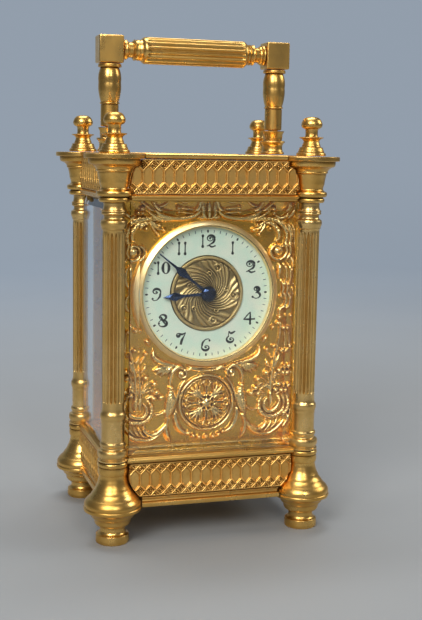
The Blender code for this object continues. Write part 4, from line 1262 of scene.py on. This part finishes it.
def bezel():
    """The dial's ring: a plain rounded band, a groove, and a finely notched lip inside it."""
    back, front = depths("dial_bezel")
    crest, outer = front - BEZEL_LOW, DIAL_RADIUS
    seat = ENAMEL_FRONT + GAP
    path = (
        (outer - 0.7, back), (outer, back), (outer, crest - 1.1), (outer - 0.12, crest - 0.9, 0.04),
        (outer - 1.6, crest - 0.05, 0.08), (outer - 1.78, crest, 0.03), (outer - 1.85, crest - 1.1),
        (outer - 2.0, crest - 1.1), (outer - 2.05, crest - 0.7), (outer - 2.3, crest - 0.8, 0.05),
        (outer - 2.5, crest - 1.3), (outer - 2.5, seat), (outer - 0.7, seat),
    )

    def milling(radii, heights, angles):
        raised = radii[0] < outer - 2.02 and heights[0] > crest - 0.9
        return np.where((np.sin(angles * BEZEL_NOTCHES) > 0) & raised, -0.16, 0.0)

    shape = spun(bowed(path), BEZEL_NOTCHES * 4, lift=milling, tube=True)
    stand_in("dial_bezel", on_dial(shape), bezel_gilt, 40)


def chapter_ring():
    """The enamel ring, very slightly domed."""
    back, front = depths("chapter_ring")
    outer = span("chapter_ring")[1].x - DIAL.x
    inner = ENAMEL_INNER
    path = (
        (inner, back), (outer, back), (outer, front - 0.25), (outer - 0.6, front - 0.1),
        (20.4, front, 0.03), (inner + 0.25, front - 0.06, 0.02), (inner, front - 0.2, 0.04),
    )
    stand_in("chapter_ring", on_dial(spun(bowed(path), 180, tube=True)), white_enamel, 50)


LEAVES, RIBS = 5, 5
SWIRL = 1.25  # how far a leaf turns while its radius grows by a factor of e
HUB = 2.4  # radius at which the leaves start
CENTRE_RELIEF = 0.7
CURLS = ((10.7, 0.45, 1.7), (7.6, 0.02, 1.0))  # (place out, share of a leaf's pitch, size) of a scroll
FIELD_INNER, FIELD_OUTER = 1.9, 13.0  # radii of the part in relief


def swirl(radii, heights, angles):
    """Relief of broad ribbed leaves that spiral out from the hub, with small open scrolls between them."""
    pitch = 2 * math.pi / LEAVES
    out = np.clip((radii - HUB) / (FIELD_OUTER - HUB - 0.2), 0, 1)
    phase = ((angles - SWIRL * np.log(radii / HUB)) / pitch) % 1.0
    across = phase / (0.93 - 0.10 * out + 0.05 * np.sin(11.0 * out))
    inside = (across < 1.0) & (across > 0.0)
    fan = 0.5 - 0.5 * np.cos(2 * math.pi * across * (RIBS + 0.001))
    body = 0.45 + 0.55 * np.sin(math.pi * np.clip(across, 0, 1)) ** 0.6
    wave = 0.14 * np.sin(9.0 * out + 6.0 * across)
    leaf = np.where(inside, (0.12 + 0.88 * fan**0.8) * body + wave, 0.0)
    tip = np.clip((12.9 - radii) / 0.35, 0, 1) * np.clip((radii - FIELD_INNER) / 0.5, 0, 1)
    curls = np.zeros_like(radii)
    cover = np.zeros_like(radii)
    for k in range(LEAVES):
        for reach, turn, size in CURLS:
            angle = (k + turn) * pitch + SWIRL * math.log(reach / HUB)
            x = radii * np.cos(angles - angle) - reach
            y = radii * np.sin(angles - angle)
            away = np.hypot(x, y)
            gap = np.clip(1.2 - 1.1 * np.cos(np.arctan2(y, x) - 2.2), 0, 1)
            cover = np.maximum(cover, gap * np.clip((size + 0.15 - away) / 0.2, 0, 1))
            curls = np.maximum(curls, gap * ridge(np.abs(away - size * 0.75), size * 0.28))
            curls = np.maximum(curls, 0.9 * ridge(np.hypot(x + 0.2 * size, y), size * 0.3))
    return CENTRE_RELIEF * (leaf * (1 - cover) + curls) * tip


def dial_centre():
    """The swirling boss inside the enamel ring, and the plate behind that carries the dial."""
    back, front = depths("dial_centre")
    plate = span("dial_centre")[1].x - DIAL.x
    ground = front - 0.75
    rim = (
        (14.3, front - 0.2), (14.1, front, 0.04), (13.5, front), (13.25, front - 0.2, 0.05),
        (13.1, ground + 0.1),
    )
    step = back + 0.8
    path = [(FIELD_INNER, back), (plate, back), (plate, step), (14.3, step), (14.3, front - 0.25)]
    path += bowed(rim) + [(radius, ground) for radius in np.linspace(FIELD_OUTER, FIELD_INNER, 90)]

    def lift(radii, heights, angles):
        on_field = radii[0] <= FIELD_OUTER and abs(heights[0] - ground) < 1e-9
        return swirl(radii, heights, angles) if on_field else 0 * radii

    stand_in("dial_centre", on_dial(spun(path, 420, lift=lift, tube=True)), centre_gilt, 70)


# Painted figures: strokes of (x, up, half width) in a box about 4.9 high, and dots of (x, up, radius)

THIN, THICK = 0.16, 0.48


def curl(x, z, start, end, inner, outer, peak=0.6):
    """A spiral stroke between two angles in degrees, from an inner to an outer radius. It swells to its full
    width at a share of its length."""
    shares = np.arange(23) / 22
    angles = np.radians(start + (end - start) * shares)
    radii = inner + (outer - inner) * shares**0.8
    widths = THIN + (THICK - THIN) * np.exp(-(((shares - peak) / 0.22) ** 2))
    return list(zip(x + radii * np.cos(angles), z + radii * np.sin(angles), widths))


ROUND = np.linspace(0, 2 * math.pi, 33)
FIGURES = {
    0: ([list(zip(np.cos(ROUND), 2.15 * np.sin(ROUND), THIN + 0.4 * np.cos(ROUND) ** 2))], []),
    1: (
        [[(0, -1.9, 0.27), (0, 0.0, 0.24), (0, 1.9, 0.27)]],
        [(0, 2.05, 0.5), (0, -2.08, 0.54), (0, 1.7, 0.4), (0, -1.7, 0.4)],
    ),
    2: (
        [
            curl(-0.1, 0.95, 560, 0, 0.25, 1.35, 0.95),
            [(1.25, 0.9, THICK), (0.9, -0.4, 0.4), (-0.3, -1.3, 0.2), (-1.25, -1.9, THIN)],
            [(-1.3, -1.95, 0.16), (-0.6, -1.65, 0.26), (0.3, -2.2, 0.36), (1.35, -1.9, 0.16)],
        ],
        [(-0.25, 1.0, 0.38), (1.4, -1.85, 0.3)],
    ),
    3: (
        [curl(0, 1.25, 470, -90, 0.2, 1.05, 0.8), curl(0.05, -1.05, 110, -150, 0.9, 1.35, 0.35)],
        [(0, 1.25, 0.32), (-1.15, -1.75, 0.42)],
    ),
    4: (
        [
            [(0.3, 2.4, 0.2), (0.3, 0.0, 0.38), (0.3, -2.3, 0.36)],
            [(-1.7, -0.45, 0.28), (0, -0.5, 0.36), (1.6, -0.4, 0.28)],
            [(0.25, 2.3, 0.2), (-0.8, 0.9, 0.24), (-1.65, -0.4, 0.2)],
        ],
        [(0.3, -2.2, 0.46), (1.6, -0.4, 0.36), (-1.6, -0.42, 0.34)],
    ),
    5: (
        [
            curl(-0.05, -0.85, 560, 115, 0.25, 1.4, 0.72),
            [(-0.75, 0.35, THIN), (-0.75, 1.3, 0.2), (-0.55, 2.0, THIN)],
            [(-0.6, 1.95, 0.2), (0.1, 1.6, 0.42), (0.9, 2.05, 0.32), (1.35, 2.35, THIN)],
        ],
        [(-0.05, -0.85, 0.36), (-0.55, 2.1, 0.4)],
    ),
    6: (
        [
            curl(0, -0.95, 560, 150, 0.25, 1.4, 0.72),
            [(-1.25, -0.3, 0.38), (-1.05, 0.9, 0.38), (-0.2, 2.1, 0.2), (0.8, 2.3, THIN), (1.15, 1.7, THIN)],
        ],
        [(0, -0.95, 0.36), (1.05, 1.65, 0.4)],
    ),
    7: (
        [
            curl(-0.7, 1.45, 470, 80, 0.15, 0.75),
            [(-0.6, 2.15, 0.24), (0.1, 1.75, 0.4), (0.8, 2.0, 0.26), (1.4, 2.4, THIN)],
            [(1.35, 2.3, THIN), (0.8, 0.9, 0.26), (0.2, -0.6, 0.5), (-0.1, -2.2, 0.44)],
        ],
        [(-0.7, 1.4, 0.3)],
    ),
    8: (
        [
            curl(0, 1.2, -90, 270, 1.0, 1.0, 0.3), curl(0, -1.1, 90, 450, 1.25, 1.25, 0.7),
            [(-0.7, 1.6, 0.24), (0, 0.1, 0.44), (0.8, -1.5, 0.24)],
        ],
        [(-0.95, 1.3, 0.36), (0.95, 1.3, 0.32), (-1.15, -1.1, 0.4), (1.15, -1.1, 0.36)],
    ),
}
# Hours as (figure, shift, stretch, turn). Turn -1 stands a figure on its head.
HOURS = {hour: ((hour, 0.0, 1.3, 1),) for hour in range(1, 9)}
HOURS[9] = ((6, 0.0, 1.3, -1),)
HOURS[10] = (1, -2.0, 1.3, 1), (0, 1.0, 1.2, 1)
HOURS[11] = (1, -1.3, 1.3, 1), (1, 1.1, 1.2, 1)
HOURS[12] = (1, -2.0, 1.3, 1), (2, 1.2, 1.2, 1)


def moved(points, shift, stretch, turn):
    return [(shift + turn * stretch * x, turn * z, size) for x, z, size in points]


PAINT = 0.05  # half the thickness of the paint, half of which is sunk in the enamel
FIGURE_RADIUS = 20.0


def painted(points):
    """A raised ribbon of paint along a curve of (x, up, half width) points."""
    curve = smooth_curve(points, 4)
    step = np.gradient(curve[:, :2], axis=0)
    step /= np.maximum(np.hypot(step[:, 0], step[:, 1]), 1e-9)[:, None]
    side = np.column_stack((-step[:, 1], step[:, 0])) * curve[:, 2:3]
    loops = []
    for centre, reach in zip(curve[:, :2], side):
        a, b = centre - reach, centre + reach
        loops.append([(*a, -PAINT), (*b, -PAINT), (*b, PAINT), (*a, PAINT)])
    return stacked(loops)


def figures():
    """Hour figures and the long dots at each fifth minute, all in black."""
    shapes = []
    for hour, parts in HOURS.items():
        angle = 2 * math.pi * hour / 12
        x, z = FIGURE_RADIUS * math.sin(angle), FIGURE_RADIUS * math.cos(angle)
        for figure, *move in parts:
            for points in FIGURES[figure][0]:
                shapes.append(placed(painted(moved(points, *move)), x, z))
        for figure, *move in parts:
            for dot_x, dot_z, radius in moved(FIGURES[figure][1], *move):
                shapes.append(placed(prism(circle(radius, dot_x, dot_z, 20), -PAINT, PAINT), x, z))
        mark = prism([(0.36 * a, 0.6 * b) for a, b in circle(1.0, steps=20)], -PAINT, PAINT)
        shapes.append(swung(placed(mark, y=23.75), -angle))
    return joined(*shapes)


def minute_marks():
    dash = prism(rectangle(-0.13, 0.13, 23.2, 24.3), -PAINT, PAINT)
    return joined(*(swung(dash, -2 * math.pi * minute / 60) for minute in range(60) if minute % 5))


def paint_dial():
    level = ENAMEL_FRONT - 0.01
    paints = (("hour_figures", figures(), black_ink), ("minute_dashes", minute_marks(), blue_ink))
    for name, shape, finish in paints:
        piece(name, placed(facing(shape), DIAL.x, -level, DIAL.z), finish, BODY["chapter_ring"], 60)


# Hands: (reach, half width) along each blade

HOUR_BLADE = (
    (2.0, 0.8), (3.0, 0.62), (6.5, 0.48), (9.2, 0.5), (10.4, 0.75), (11.6, 1.25), (12.8, 1.62), (13.8, 1.4),
    (15.2, 0.85), (17.5, 0.12),
)
MINUTE_BLADE = (
    (2.4, 0.75), (3.6, 0.62), (7.0, 0.48), (9.6, 0.5), (11.4, 1.0), (13.2, 1.65), (14.4, 1.5), (16.4, 0.5),
    (20.0, 0.34), (25.0, 0.2),
)


def blade(shape, low, high):
    """A hand's blade pointing up its own Y from the hub, with a ridge along its middle."""
    loops = []
    for reach, half in shape:
        edge = low + (high - low) * 0.35
        crest = edge + (high - edge) * min(1.0, 0.35 + half)
        outline = ((-half, low), (half, low), (half, edge), (0, crest), (-half, edge))
        loops.append([(x, reach, height) for x, height in outline])
    return stacked(loops)


def blade_angle(node):
    """The clockwise angle from upright at which the CAD hand points, from its farthest point."""
    points = np.array([v.co for v in frame["nodes"][node].data.vertices]) / MM
    away = points[:, [0, 2]] - np.array((DIAL.x, DIAL.z))
    far = away[np.argmax(np.hypot(away[:, 0], away[:, 1]))]
    return math.atan2(far[0], far[1])


def hand(node, hub, shape, low, high):
    turned = swung(joined(hub, blade(shape, low, high)), -blade_angle(node))
    stand_in(node, on_dial(turned), blued_steel, 24)


def hands():
    back, front = depths("hour_hand")
    pipe = (
        (1.05, back), (1.6, back), (1.6, front - 0.7), (2.3, front - 0.6), (2.6, front - 0.4),
        (2.5, front - 0.05), (1.05, front),
    )
    hand("hour_hand", spun(pipe, 64, tube=True), HOUR_BLADE, front - 0.5, front - 0.05)
    back, front = depths("minute_hand")
    cap = bowed(((0, back), (2.8, back), (3.0, back + 0.2), (3.0, back + 0.7, 0.05), (0, front, 0.5)), 14)
    hand("minute_hand", spun(cap, 80), MINUTE_BLADE, back + 0.2, back + 0.7)


# Movement


def laid(shape, axis):
    """A shape turned round Z, laid so that its heights count forward from an arbor's axis."""
    return placed(facing(shape), axis.x, 0, axis.z)


def window(inner, outer, start, end, half_arm, steps=10):
    """The opening between two arms of a wheel, as an outline."""
    points = []
    for radius, way in ((inner, 1), (outer, -1)):
        slack = math.asin(half_arm / radius)
        angles = np.linspace(start + slack, end - slack, steps)[::way]
        points += [(radius * math.cos(a), radius * math.sin(a)) for a in angles]
    return points


def wheel(teeth, tip, depth, low, high, rim, hub, arms=4, half_arm=0.55, lean=0.0):
    """A toothed wheel with straight arms between its hub and its rim."""
    pitch = 2 * math.pi / arms
    openings = [window(hub, rim, k * pitch, (k + 1) * pitch, half_arm) for k in range(arms)]
    return pierced(toothed(teeth, tip - depth, tip, lean), openings, low, high)


def pinion(leaves, tip, low, high):
    return prism(toothed(leaves, tip * 0.66, tip), low, high)


def rod(radius, low, high, steps=24):
    """A round arbor with small chamfers on its ends."""
    edge = min(0.15, radius / 3)
    path = (radius - edge, low), (radius, low + edge), (radius, high - edge), (radius - edge, high)
    return spun(((0, low), *path, (0, high)), steps)


def screw(radius, height):
    """A slotted cheese-head screw that stands on height 0."""
    edge, half_slot = 0.12, 0.14
    path = (
        (0, -0.4), (radius * 0.5, -0.4), (radius * 0.5, 0), (radius, 0), (radius, height - edge),
        (radius - edge, height), (0, height, 0.04),
    )
    cut = box((-radius - 1, -half_slot, height * 0.45), (radius + 1, half_slot, height + 1))
    return combined(spun(bowed(path), 40), [("DIFFERENCE", cut)])


def plate_thickness():
    back, front = depths("movement_front_plate")
    return front - back


def plate(node, holes):
    """A movement plate on two feet, drilled for the arbors, at the back of its node's box."""
    low, high = span(node)
    foot, arch, corner = 8.0, low.z + 5.3, 1.2
    half = high.x
    right = [(half - foot, arch), (half - foot, low.z), (half, low.z), (half, high.z - corner)]
    right.append((half - corner, high.z))
    outline = right + [(-x, z) for x, z in reversed(right)]
    loops = [circle(radius, x, z, 32) for radius, x, z in holes]
    shape = pierced(outline, loops, -high.y, -high.y + plate_thickness())
    return facing(shape)


PILLARS = [(x, z) for x in (-21.5, 21.5) for z in (45.0, 118.5)]


def plates():
    """Two plates that are held apart by four turned pillars, with a screw on each pillar's end."""
    barrel, third, contrate = (axis_of(body) for body in ("barrel", "third_arbor", "contrate_arbor"))
    small = [(1.0, DIAL.x, DIAL.z), (0.9, third.x, third.z), (0.9, contrate.x, contrate.z)]
    front_plate = plate("movement_front_plate", small + [(1.5, 0, barrel.z)])
    rounded(stand_in("movement_front_plate", front_plate, movement_brass), 0.2)
    back_plate = plate("movement_back_plate", small + [(2.3, 0, barrel.z)])
    front_back, front = depths("movement_front_plate")
    reach = front_back - GAP
    start = depths("movement_back_plate")[0] + plate_thickness() / 2
    profile = ((2.0, 0), (2.0, 2.5), (2.5, 3.2, 0.2), (2.0, 3.9, 0.2), (1.75, 5.0), (1.75, reach / 2))
    lower = [(radius, start + along) for radius, along in bowed(profile)]
    upper = [(radius, start + reach - along) for radius, along in reversed(lower)]
    pillar = facing(spun([(0, start)] + lower + upper + [(0, reach)], 48))
    pillars = [placed(pillar, x, 0, z) for x, z in PILLARS]
    stand_in("movement_back_plate", joined(back_plate, *pillars), movement_brass, 30)
    heads = []
    for k, (x, z) in enumerate(PILLARS):
        heads.append(placed(facing(placed(swung(screw(1.7, 0.8), 0.6 * k), z=front)), x, 0, z))
    piece("pillar_screws", joined(*heads), blued_steel, "case")


RATCHET_BACK, RATCHET_FRONT = -17.8, -16.4
CLICK = [(6.1, 3.3), (8.6, 3.6), (11.6, 5.2), (12.4, 7.0), (11.4, 8.2), (9.7, 7.6), (7.4, 5.4)]
CLICK_SPRING = [(-6.0, 11.8), (-1.0, 12.2), (4.6, 11.0), (8.6, 8.6)]
CLICK_SCREWS = ((11.0, 6.6), (-6.4, 11.8))  # the click's pivot and the spring's foot, from the winding axis


def winding_parts():
    """The winding square with its ratchet, and the click and click spring on the back plate."""
    axis = axis_of("winding")
    back, end = depths("winding_arbor")
    ratchet = pierced(toothed(36, 6.1, 7.0, 0.62), [circle(1.4, steps=24)], RATCHET_BACK, RATCHET_FRONT)
    rings = ((back, 1.2), (back + 0.4, 1.5), (-16.6, 1.5))
    square = stacked([
        [(x, y, level) for x, y in rectangle(-half, half, -half, half)]
        for level, half in rings
    ])
    path = (
        (0, -16.5), (2.0, -16.5), (2.0, end - 2.0), (1.2, end - 2.0), (1.2, end - 0.2), (1.0, end),
        (0, end),
    )
    stand_in("winding_arbor", laid(joined(ratchet, square, spun(path, 40)), axis), polished_steel, 30)
    click = prism(smooth_curve(CLICK + CLICK[:1], 4)[:-1], -17.4, RATCHET_FRONT)
    loops = []
    for x, y in smooth_curve(CLICK_SPRING, 6):
        near, far = y - 0.25, y + 0.25
        loops.append([(x, near, -17.2), (x, far, -17.2), (x, far, -16.5), (x, near, -16.5)])
    foot = placed(disc(1.5, -17.3, RATCHET_FRONT, 32), *CLICK_SCREWS[1])
    steel = laid(joined(click, stacked(loops), foot), axis)
    piece("click_and_spring", steel, polished_steel, "case", 30)
    head = turned_to(screw(1.1, 0.6), (-1, 0, 0), (0, 1, 0), (0, 0, -1))
    heads = joined(*(placed(head, x, y, -17.3) for x, y in CLICK_SCREWS))
    piece("click_screws", laid(heads, axis), blued_steel, "case")


def barrel():
    """The mainspring's drum with its toothed rim."""
    hole, drum, toothed_from, cover = 2.3, 19.16, 5.8, 8.0
    path = (
        (hole, -cover), (4.5, -cover), (4.6, -7.8), (drum - 1.2, -7.8), (drum - 1.0, -cover),
        (drum - 0.2, -cover), (drum, -7.8), (drum, toothed_from), (18.0, toothed_from), (18.0, 7.6),
        (4.6, 7.6), (4.5, cover), (hole, cover),
    )
    rim = pierced(toothed(96, 19.3, 20.0), [circle(17.5, steps=96)], toothed_from, cover)
    shape = laid(joined(spun(path, 120, tube=True), rim), axis_of("barrel"))
    stand_in("mainspring_barrel", shape, movement_brass, 25)


CROWN_TEETH = 70


def crown(radii, heights, angles):
    """The contrate wheel's upright teeth, cut into its wall's front edge."""
    share = (angles * CROWN_TEETH / (2 * math.pi)) % 1.0
    return np.where((heights > -7.7) & (share > 0.45), -0.55, 0.0)


def train():
    """Each arbor of the train with its pinion, its wheel and the wheel's hub."""
    wall = ((7.25, -9.8), (8.0, -9.8), (8.0, -8.2), (8.0, -7.6), (7.25, -7.6), (7.25, -8.2))
    parts = {
        "centre": (
            0.7, pinion(10, 1.95, 5.0, 8.5), wheel(80, 11.9, 0.5, 11.6, 12.6, 10.2, 2.4),
            spun(((0, 10.9), (2.6, 10.9), (2.8, 11.1), (2.8, 13.0), (2.6, 13.2), (0, 13.2)), 40),
        ),
        "third": (
            0.6, pinion(10, 1.4, 10.6, 13.6), wheel(75, 9.25, 0.42, -5.0, -4.0, 7.9, 2.0),
            spun(((0, -5.6), (2.2, -5.6), (2.3, -5.4), (2.3, -3.7), (2.2, -3.5), (0, -3.5)), 40),
        ),
        "contrate": (
            0.6, pinion(10, 1.1, -6.5, -3.0), spun(wall, CROWN_TEETH * 6, lift=crown, tube=True),
            wheel(70, 7.4, 0.0, -9.8, -9.0, 6.4, 1.8), disc(2.0, -9.9, -7.8),
        ),
    }
    for name, (radius, *shapes) in parts.items():
        arbor = rod(radius, *depths(f"{name}_wheel"))
        shape = laid(joined(arbor, *shapes), axis_of(f"{name}_arbor"))
        stand_in(f"{name}_wheel", shape, movement_brass, 25)


# From the fork round the right pallet to the middle of the lever's back
LEVER_OUTLINE = [
    (-0.3, -3.4), (-0.12, -2.9), (0.12, -2.9), (0.3, -3.4), (0.45, -2.8), (0.3, -1.0), (1.6, -0.35),
    (3.4, 0.6), (3.1, 1.6), (2.4, 1.3), (1.2, 0.75), (0.0, 0.9),
]


def escapement():
    """The escape wheel and the pallet lever on their arbors."""
    at = axis_of("escape_arbor")
    ratchet = wheel(15, 4.0, 1.0, 127.2, 127.8, 2.5, 1.0, 4, 0.25, 0.62)
    escape = joined(rod(0.5, *levels("escape_wheel")), pinion(7, 0.7, 117.5, 120.0), ratchet)
    stand_in("escape_wheel", placed(escape, at.x, at.y), polished_steel, 25)
    at = axis_of("lever")
    outline = LEVER_OUTLINE + [(-x, y) for x, y in LEVER_OUTLINE[-2:4:-1]]
    lever = joined(prism(outline, 128.3, 129.1), rod(0.4, *levels("pallet_lever")))
    stand_in("pallet_lever", placed(lever, at.x, at.y), polished_steel, 25)


def platform():
    """The escapement's platform. The cock's foot stands on its first corner, and screws on the others."""
    low, high = span("escapement_platform")
    hole = circle(1.2, 0, axis_of("escape_arbor").y, 32)
    slab = pierced(rectangle(low.x, high.x, low.y, high.y), [hole], low.z, high.z)
    rounded(stand_in("escapement_platform", slab, movement_brass), 0.25)
    inset = 2.0
    spots = [(x, y) for x in (low.x + inset, high.x - inset) for y in (low.y + inset, high.y - inset)]
    heads = [placed(swung(screw(1.1, 0.6), 0.8 * k), x, y, high.z) for k, (x, y) in enumerate(spots) if k]
    piece("platform_screws", joined(*heads), blued_steel, "case")


RIM = ((6.6, 131.0), (7.5, 131.0), (7.6, 131.1), (7.6, 131.9), (7.5, 132.0), (6.6, 132.0))
BALANCE_ARM = [(-6.9, -0.45), (-1.4, -0.6), (0, -1.3), (1.4, -0.6), (6.9, -0.45)]  # the half on one side
TIMING_SCREW = ((0, 7.4), (0.3, 7.4), (0.3, 7.6), (0.42, 7.65), (0.42, 8.0), (0, 8.0))
TIMING_SCREWS = 14
SPRING_TURNS, SPRING_INNER, SPRING_OUTER, SPRING_STEPS = 7, 1.0, 4.6, 280
SPRING_LOW, SPRING_HIGH, SPRING_HALF = 132.4, 132.8, 0.06


def balance():
    """The balance with its staff, roller and timing screws, and the coiled spring over it."""
    at = axis_of("balance")
    foot, top = levels("balance_wheel")
    arm = prism(BALANCE_ARM + [(x, -y) for x, y in reversed(BALANCE_ARM)], 131.2, 131.8)
    staff = (
        (0, foot), (0.35, foot), (0.5, foot + 0.3), (0.5, 129.5), (1.5, 129.5), (1.5, 130.1),
        (0.5, 130.1), (0.5, 130.9), (1.3, 130.9), (1.3, 132.2), (0.9, 132.3), (0.9, 132.9), (0.4, 133.0),
        (0.3, top), (0, top),
    )
    shapes = [spun(RIM, 120, tube=True), arm, spun(staff, 40)]
    stud = placed(sideways(spun(TIMING_SCREW, 16)), z=131.5)
    shapes += [swung(stud, 2 * math.pi * (k + 0.5) / TIMING_SCREWS) for k in range(TIMING_SCREWS)]
    stand_in("balance_wheel", placed(joined(*shapes), at.x, at.y), movement_brass, 25)
    share = np.arange(SPRING_STEPS + 1) / SPRING_STEPS
    turn = 2 * math.pi * SPRING_TURNS * share
    reach = SPRING_INNER + (SPRING_OUTER - SPRING_INNER) * share
    coil = np.column_stack((reach * np.cos(turn), reach * np.sin(turn)))
    step = np.gradient(coil, axis=0)
    length = np.hypot(step[:, 0], step[:, 1])[:, None]
    side = SPRING_HALF * np.column_stack((-step[:, 1], step[:, 0])) / length
    loops = []
    for inner, outer in zip(coil - side, coil + side):
        corners = (inner, SPRING_LOW), (outer, SPRING_LOW), (outer, SPRING_HIGH), (inner, SPRING_HIGH)
        loops.append([(*place, height) for place, height in corners])
    piece("hairspring", placed(stacked(loops), at.x, at.y), blued_steel, "balance", 60)


COCK_ARM = (
    (-14.5, -14.0), (-14.0, -16.3), (-11.5, -17.0), (-4.0, -10.6), (1.0, -7.2), (2.3, -5.6), (2.2, -4.2),
    (1.2, -3.1), (-0.4, -2.9), (-2.0, -3.6), (-8.0, -8.6),
)


def cock():
    """The bridge over the balance: a foot on the platform's corner and an arm out to the balance's axis."""
    foot, top = levels("balance_cock")
    at = axis_of("balance")
    block = box((-14.5, -17.0, foot), (-9.8, -12.4, top))
    shape = combined(block, [("UNION", prism(COCK_ARM, top - 1.3, top - 0.2))])
    rounded(stand_in("balance_cock", shape, movement_brass), 0.2)
    heads = [placed(screw(1.4, 0.8), -12.1, -14.7, top), placed(screw(0.7, 0.35), at.x, at.y, top - 0.2)]
    piece("cock_screws", joined(*heads), blued_steel, "case")


# Stage, light and camera


AIR = (0.29, 0.342, 0.41, 1)  # the even tone that the floor and backdrop fade into with distance


def floor_finish():
    finish = Finish("pale_floor")
    cloud = finish.noise(160.0, 3.0)
    near = finish.blend(cloud, (0.265, 0.275, 0.28, 1), (0.295, 0.305, 0.31, 1))
    far = finish.blend(cloud, (0.31, 0.365, 0.435, 1), (0.35, 0.41, 0.48, 1))
    tone = finish.blend(finish.spread(finish.depth(), 0.0, 1.0, 0.15, 0.9), near, far)
    finish.set(base_color=tone, roughness=0.7)
    away = finish.nodes.new("ShaderNodeVectorMath")
    away.operation = "LENGTH"
    finish.links.new(finish.place, away.inputs[0])
    seen = finish.nodes.new("ShaderNodeLightPath").outputs["Is Camera Ray"]
    glow = finish.nodes.new("ShaderNodeEmission")
    glow.inputs["Color"].default_value = AIR
    mix = finish.nodes.new("ShaderNodeMixShader")
    share = finish.spread(away.outputs["Value"], 0.0, 1.0, 0.5, 1.5)
    finish.links.new(finish.maths("MULTIPLY", share, seen), mix.inputs[0])
    finish.links.new(finish.shader.outputs[0], mix.inputs[1])
    finish.links.new(glow.outputs[0], mix.inputs[2])
    finish.links.new(mix.outputs[0], finish.nodes["Material Output"].inputs["Surface"])
    return finish.material


def sweep():
    """A floor that curves up into a backdrop well behind the clock."""
    reach, bend, back, top = 2.2, 0.7, 1.6, 2.6
    path = [(-reach, 0.0), (back - bend, 0.0)]
    for k in range(1, 13):
        angle = math.pi / 2 * k / 12
        path.append((back - bend + bend * math.sin(angle), bend - bend * math.cos(angle)))
    path.append((back, top))
    points = [(side * reach, y, z) for y, z in path for side in (-1, 1)]
    faces = [(2 * k, 2 * k + 1, 2 * k + 3, 2 * k + 2) for k in range(len(path) - 1)]
    mesh = bpy.data.meshes.new("sweep")
    mesh.from_pydata(points, [], faces)
    mesh.shade_smooth()
    mesh.materials.append(floor_finish())
    obj = bpy.data.objects.new("sweep", mesh)
    bpy.context.scene.collection.objects.link(obj)


def softbox(name, at, target, size, power, colour=(1, 1, 1)):
    """A rectangular light in metres, aimed from one point at another."""
    data = bpy.data.lights.new(name, "AREA")
    data.shape = "RECTANGLE"
    data.size, data.size_y = size
    data.energy = power
    data.color = colour
    obj = bpy.data.objects.new(name, data)
    obj.location = at
    obj.rotation_euler = (Vector(target) - Vector(at)).to_track_quat("-Z", "Y").to_euler()
    bpy.context.scene.collection.objects.link(obj)


def lights():
    centre = (0, 0, 0.09)
    softbox("key_upper_left", (-0.55, -0.75, 0.75), centre, (0.45, 0.6), 8.3, (1.0, 0.98, 0.95))
    softbox("front_strip", (0.0, -1.05, 0.70), centre, (0.12, 0.45), 2.4)
    softbox("right_fill", (0.95, -0.10, 0.65), centre, (0.5, 0.4), 3.1, (0.95, 0.98, 1.0))
    softbox("top", (0.0, 0.15, 1.1), centre, (0.7, 0.6), 4.2)
    softbox("backdrop_wash", (0.0, 0.5, 1.7), (0, 1.6, 0.3), (1.4, 0.5), 16.0)
    world = bpy.data.worlds.new("studio")
    world.use_nodes = True
    nodes, links = world.node_tree.nodes, world.node_tree.links
    background = nodes["Background"]
    seen = nodes.new("ShaderNodeLightPath").outputs["Is Camera Ray"]
    mix = nodes.new("ShaderNodeMix")
    mix.data_type = "RGBA"
    links.new(seen, mix.inputs["Factor"])
    mix.inputs[6].default_value = (0.11, 0.11, 0.115, 1)
    mix.inputs[7].default_value = AIR
    links.new(mix.outputs[2], background.inputs["Color"])
    background.inputs["Strength"].default_value = 1.0
    bpy.context.scene.world = world


# The camera stands in front, to the left and a little above the dial
CAMERA_AT = (-125.3, -427.7, 147.3)
YAW, PITCH, ROLL = (math.radians(angle) for angle in (17.40, 8.22, 1.02))
FOCAL_SHARE = 1120.08 / 620  # focal length over the image's longer side
SENSOR = 36.0


def camera():
    data = bpy.data.cameras.new("camera")
    data.sensor_width = SENSOR
    data.lens = FOCAL_SHARE * SENSOR
    data.clip_start = 0.01
    ahead = Vector((math.sin(YAW) * math.cos(PITCH), math.cos(YAW) * math.cos(PITCH), -math.sin(PITCH)))
    level = Vector((math.cos(YAW), -math.sin(YAW), 0))
    upright = level.cross(ahead)
    right = math.cos(ROLL) * level + math.sin(ROLL) * upright
    up = -math.sin(ROLL) * level + math.cos(ROLL) * upright
    obj = bpy.data.objects.new("camera", data)
    axes = Matrix((right, up, -ahead)).transposed().to_4x4()
    obj.matrix_world = Matrix.Translation(Vector(CAMERA_AT) * MM) @ axes
    bpy.context.scene.collection.objects.link(obj)
    bpy.context.scene.camera = obj


posts()
plinth()
sill()
top_rail()
top_frame()
friezes()
glasses()
door()
handle()
mask()
bezel()
chapter_ring()
paint_dial()
dial_centre()
hands()
plates()
barrel()
winding_parts()
train()
platform()
escapement()
balance()
cock()
sweep()
lights()
camera()
bpy.context.scene.view_settings.view_transform = "Standard"
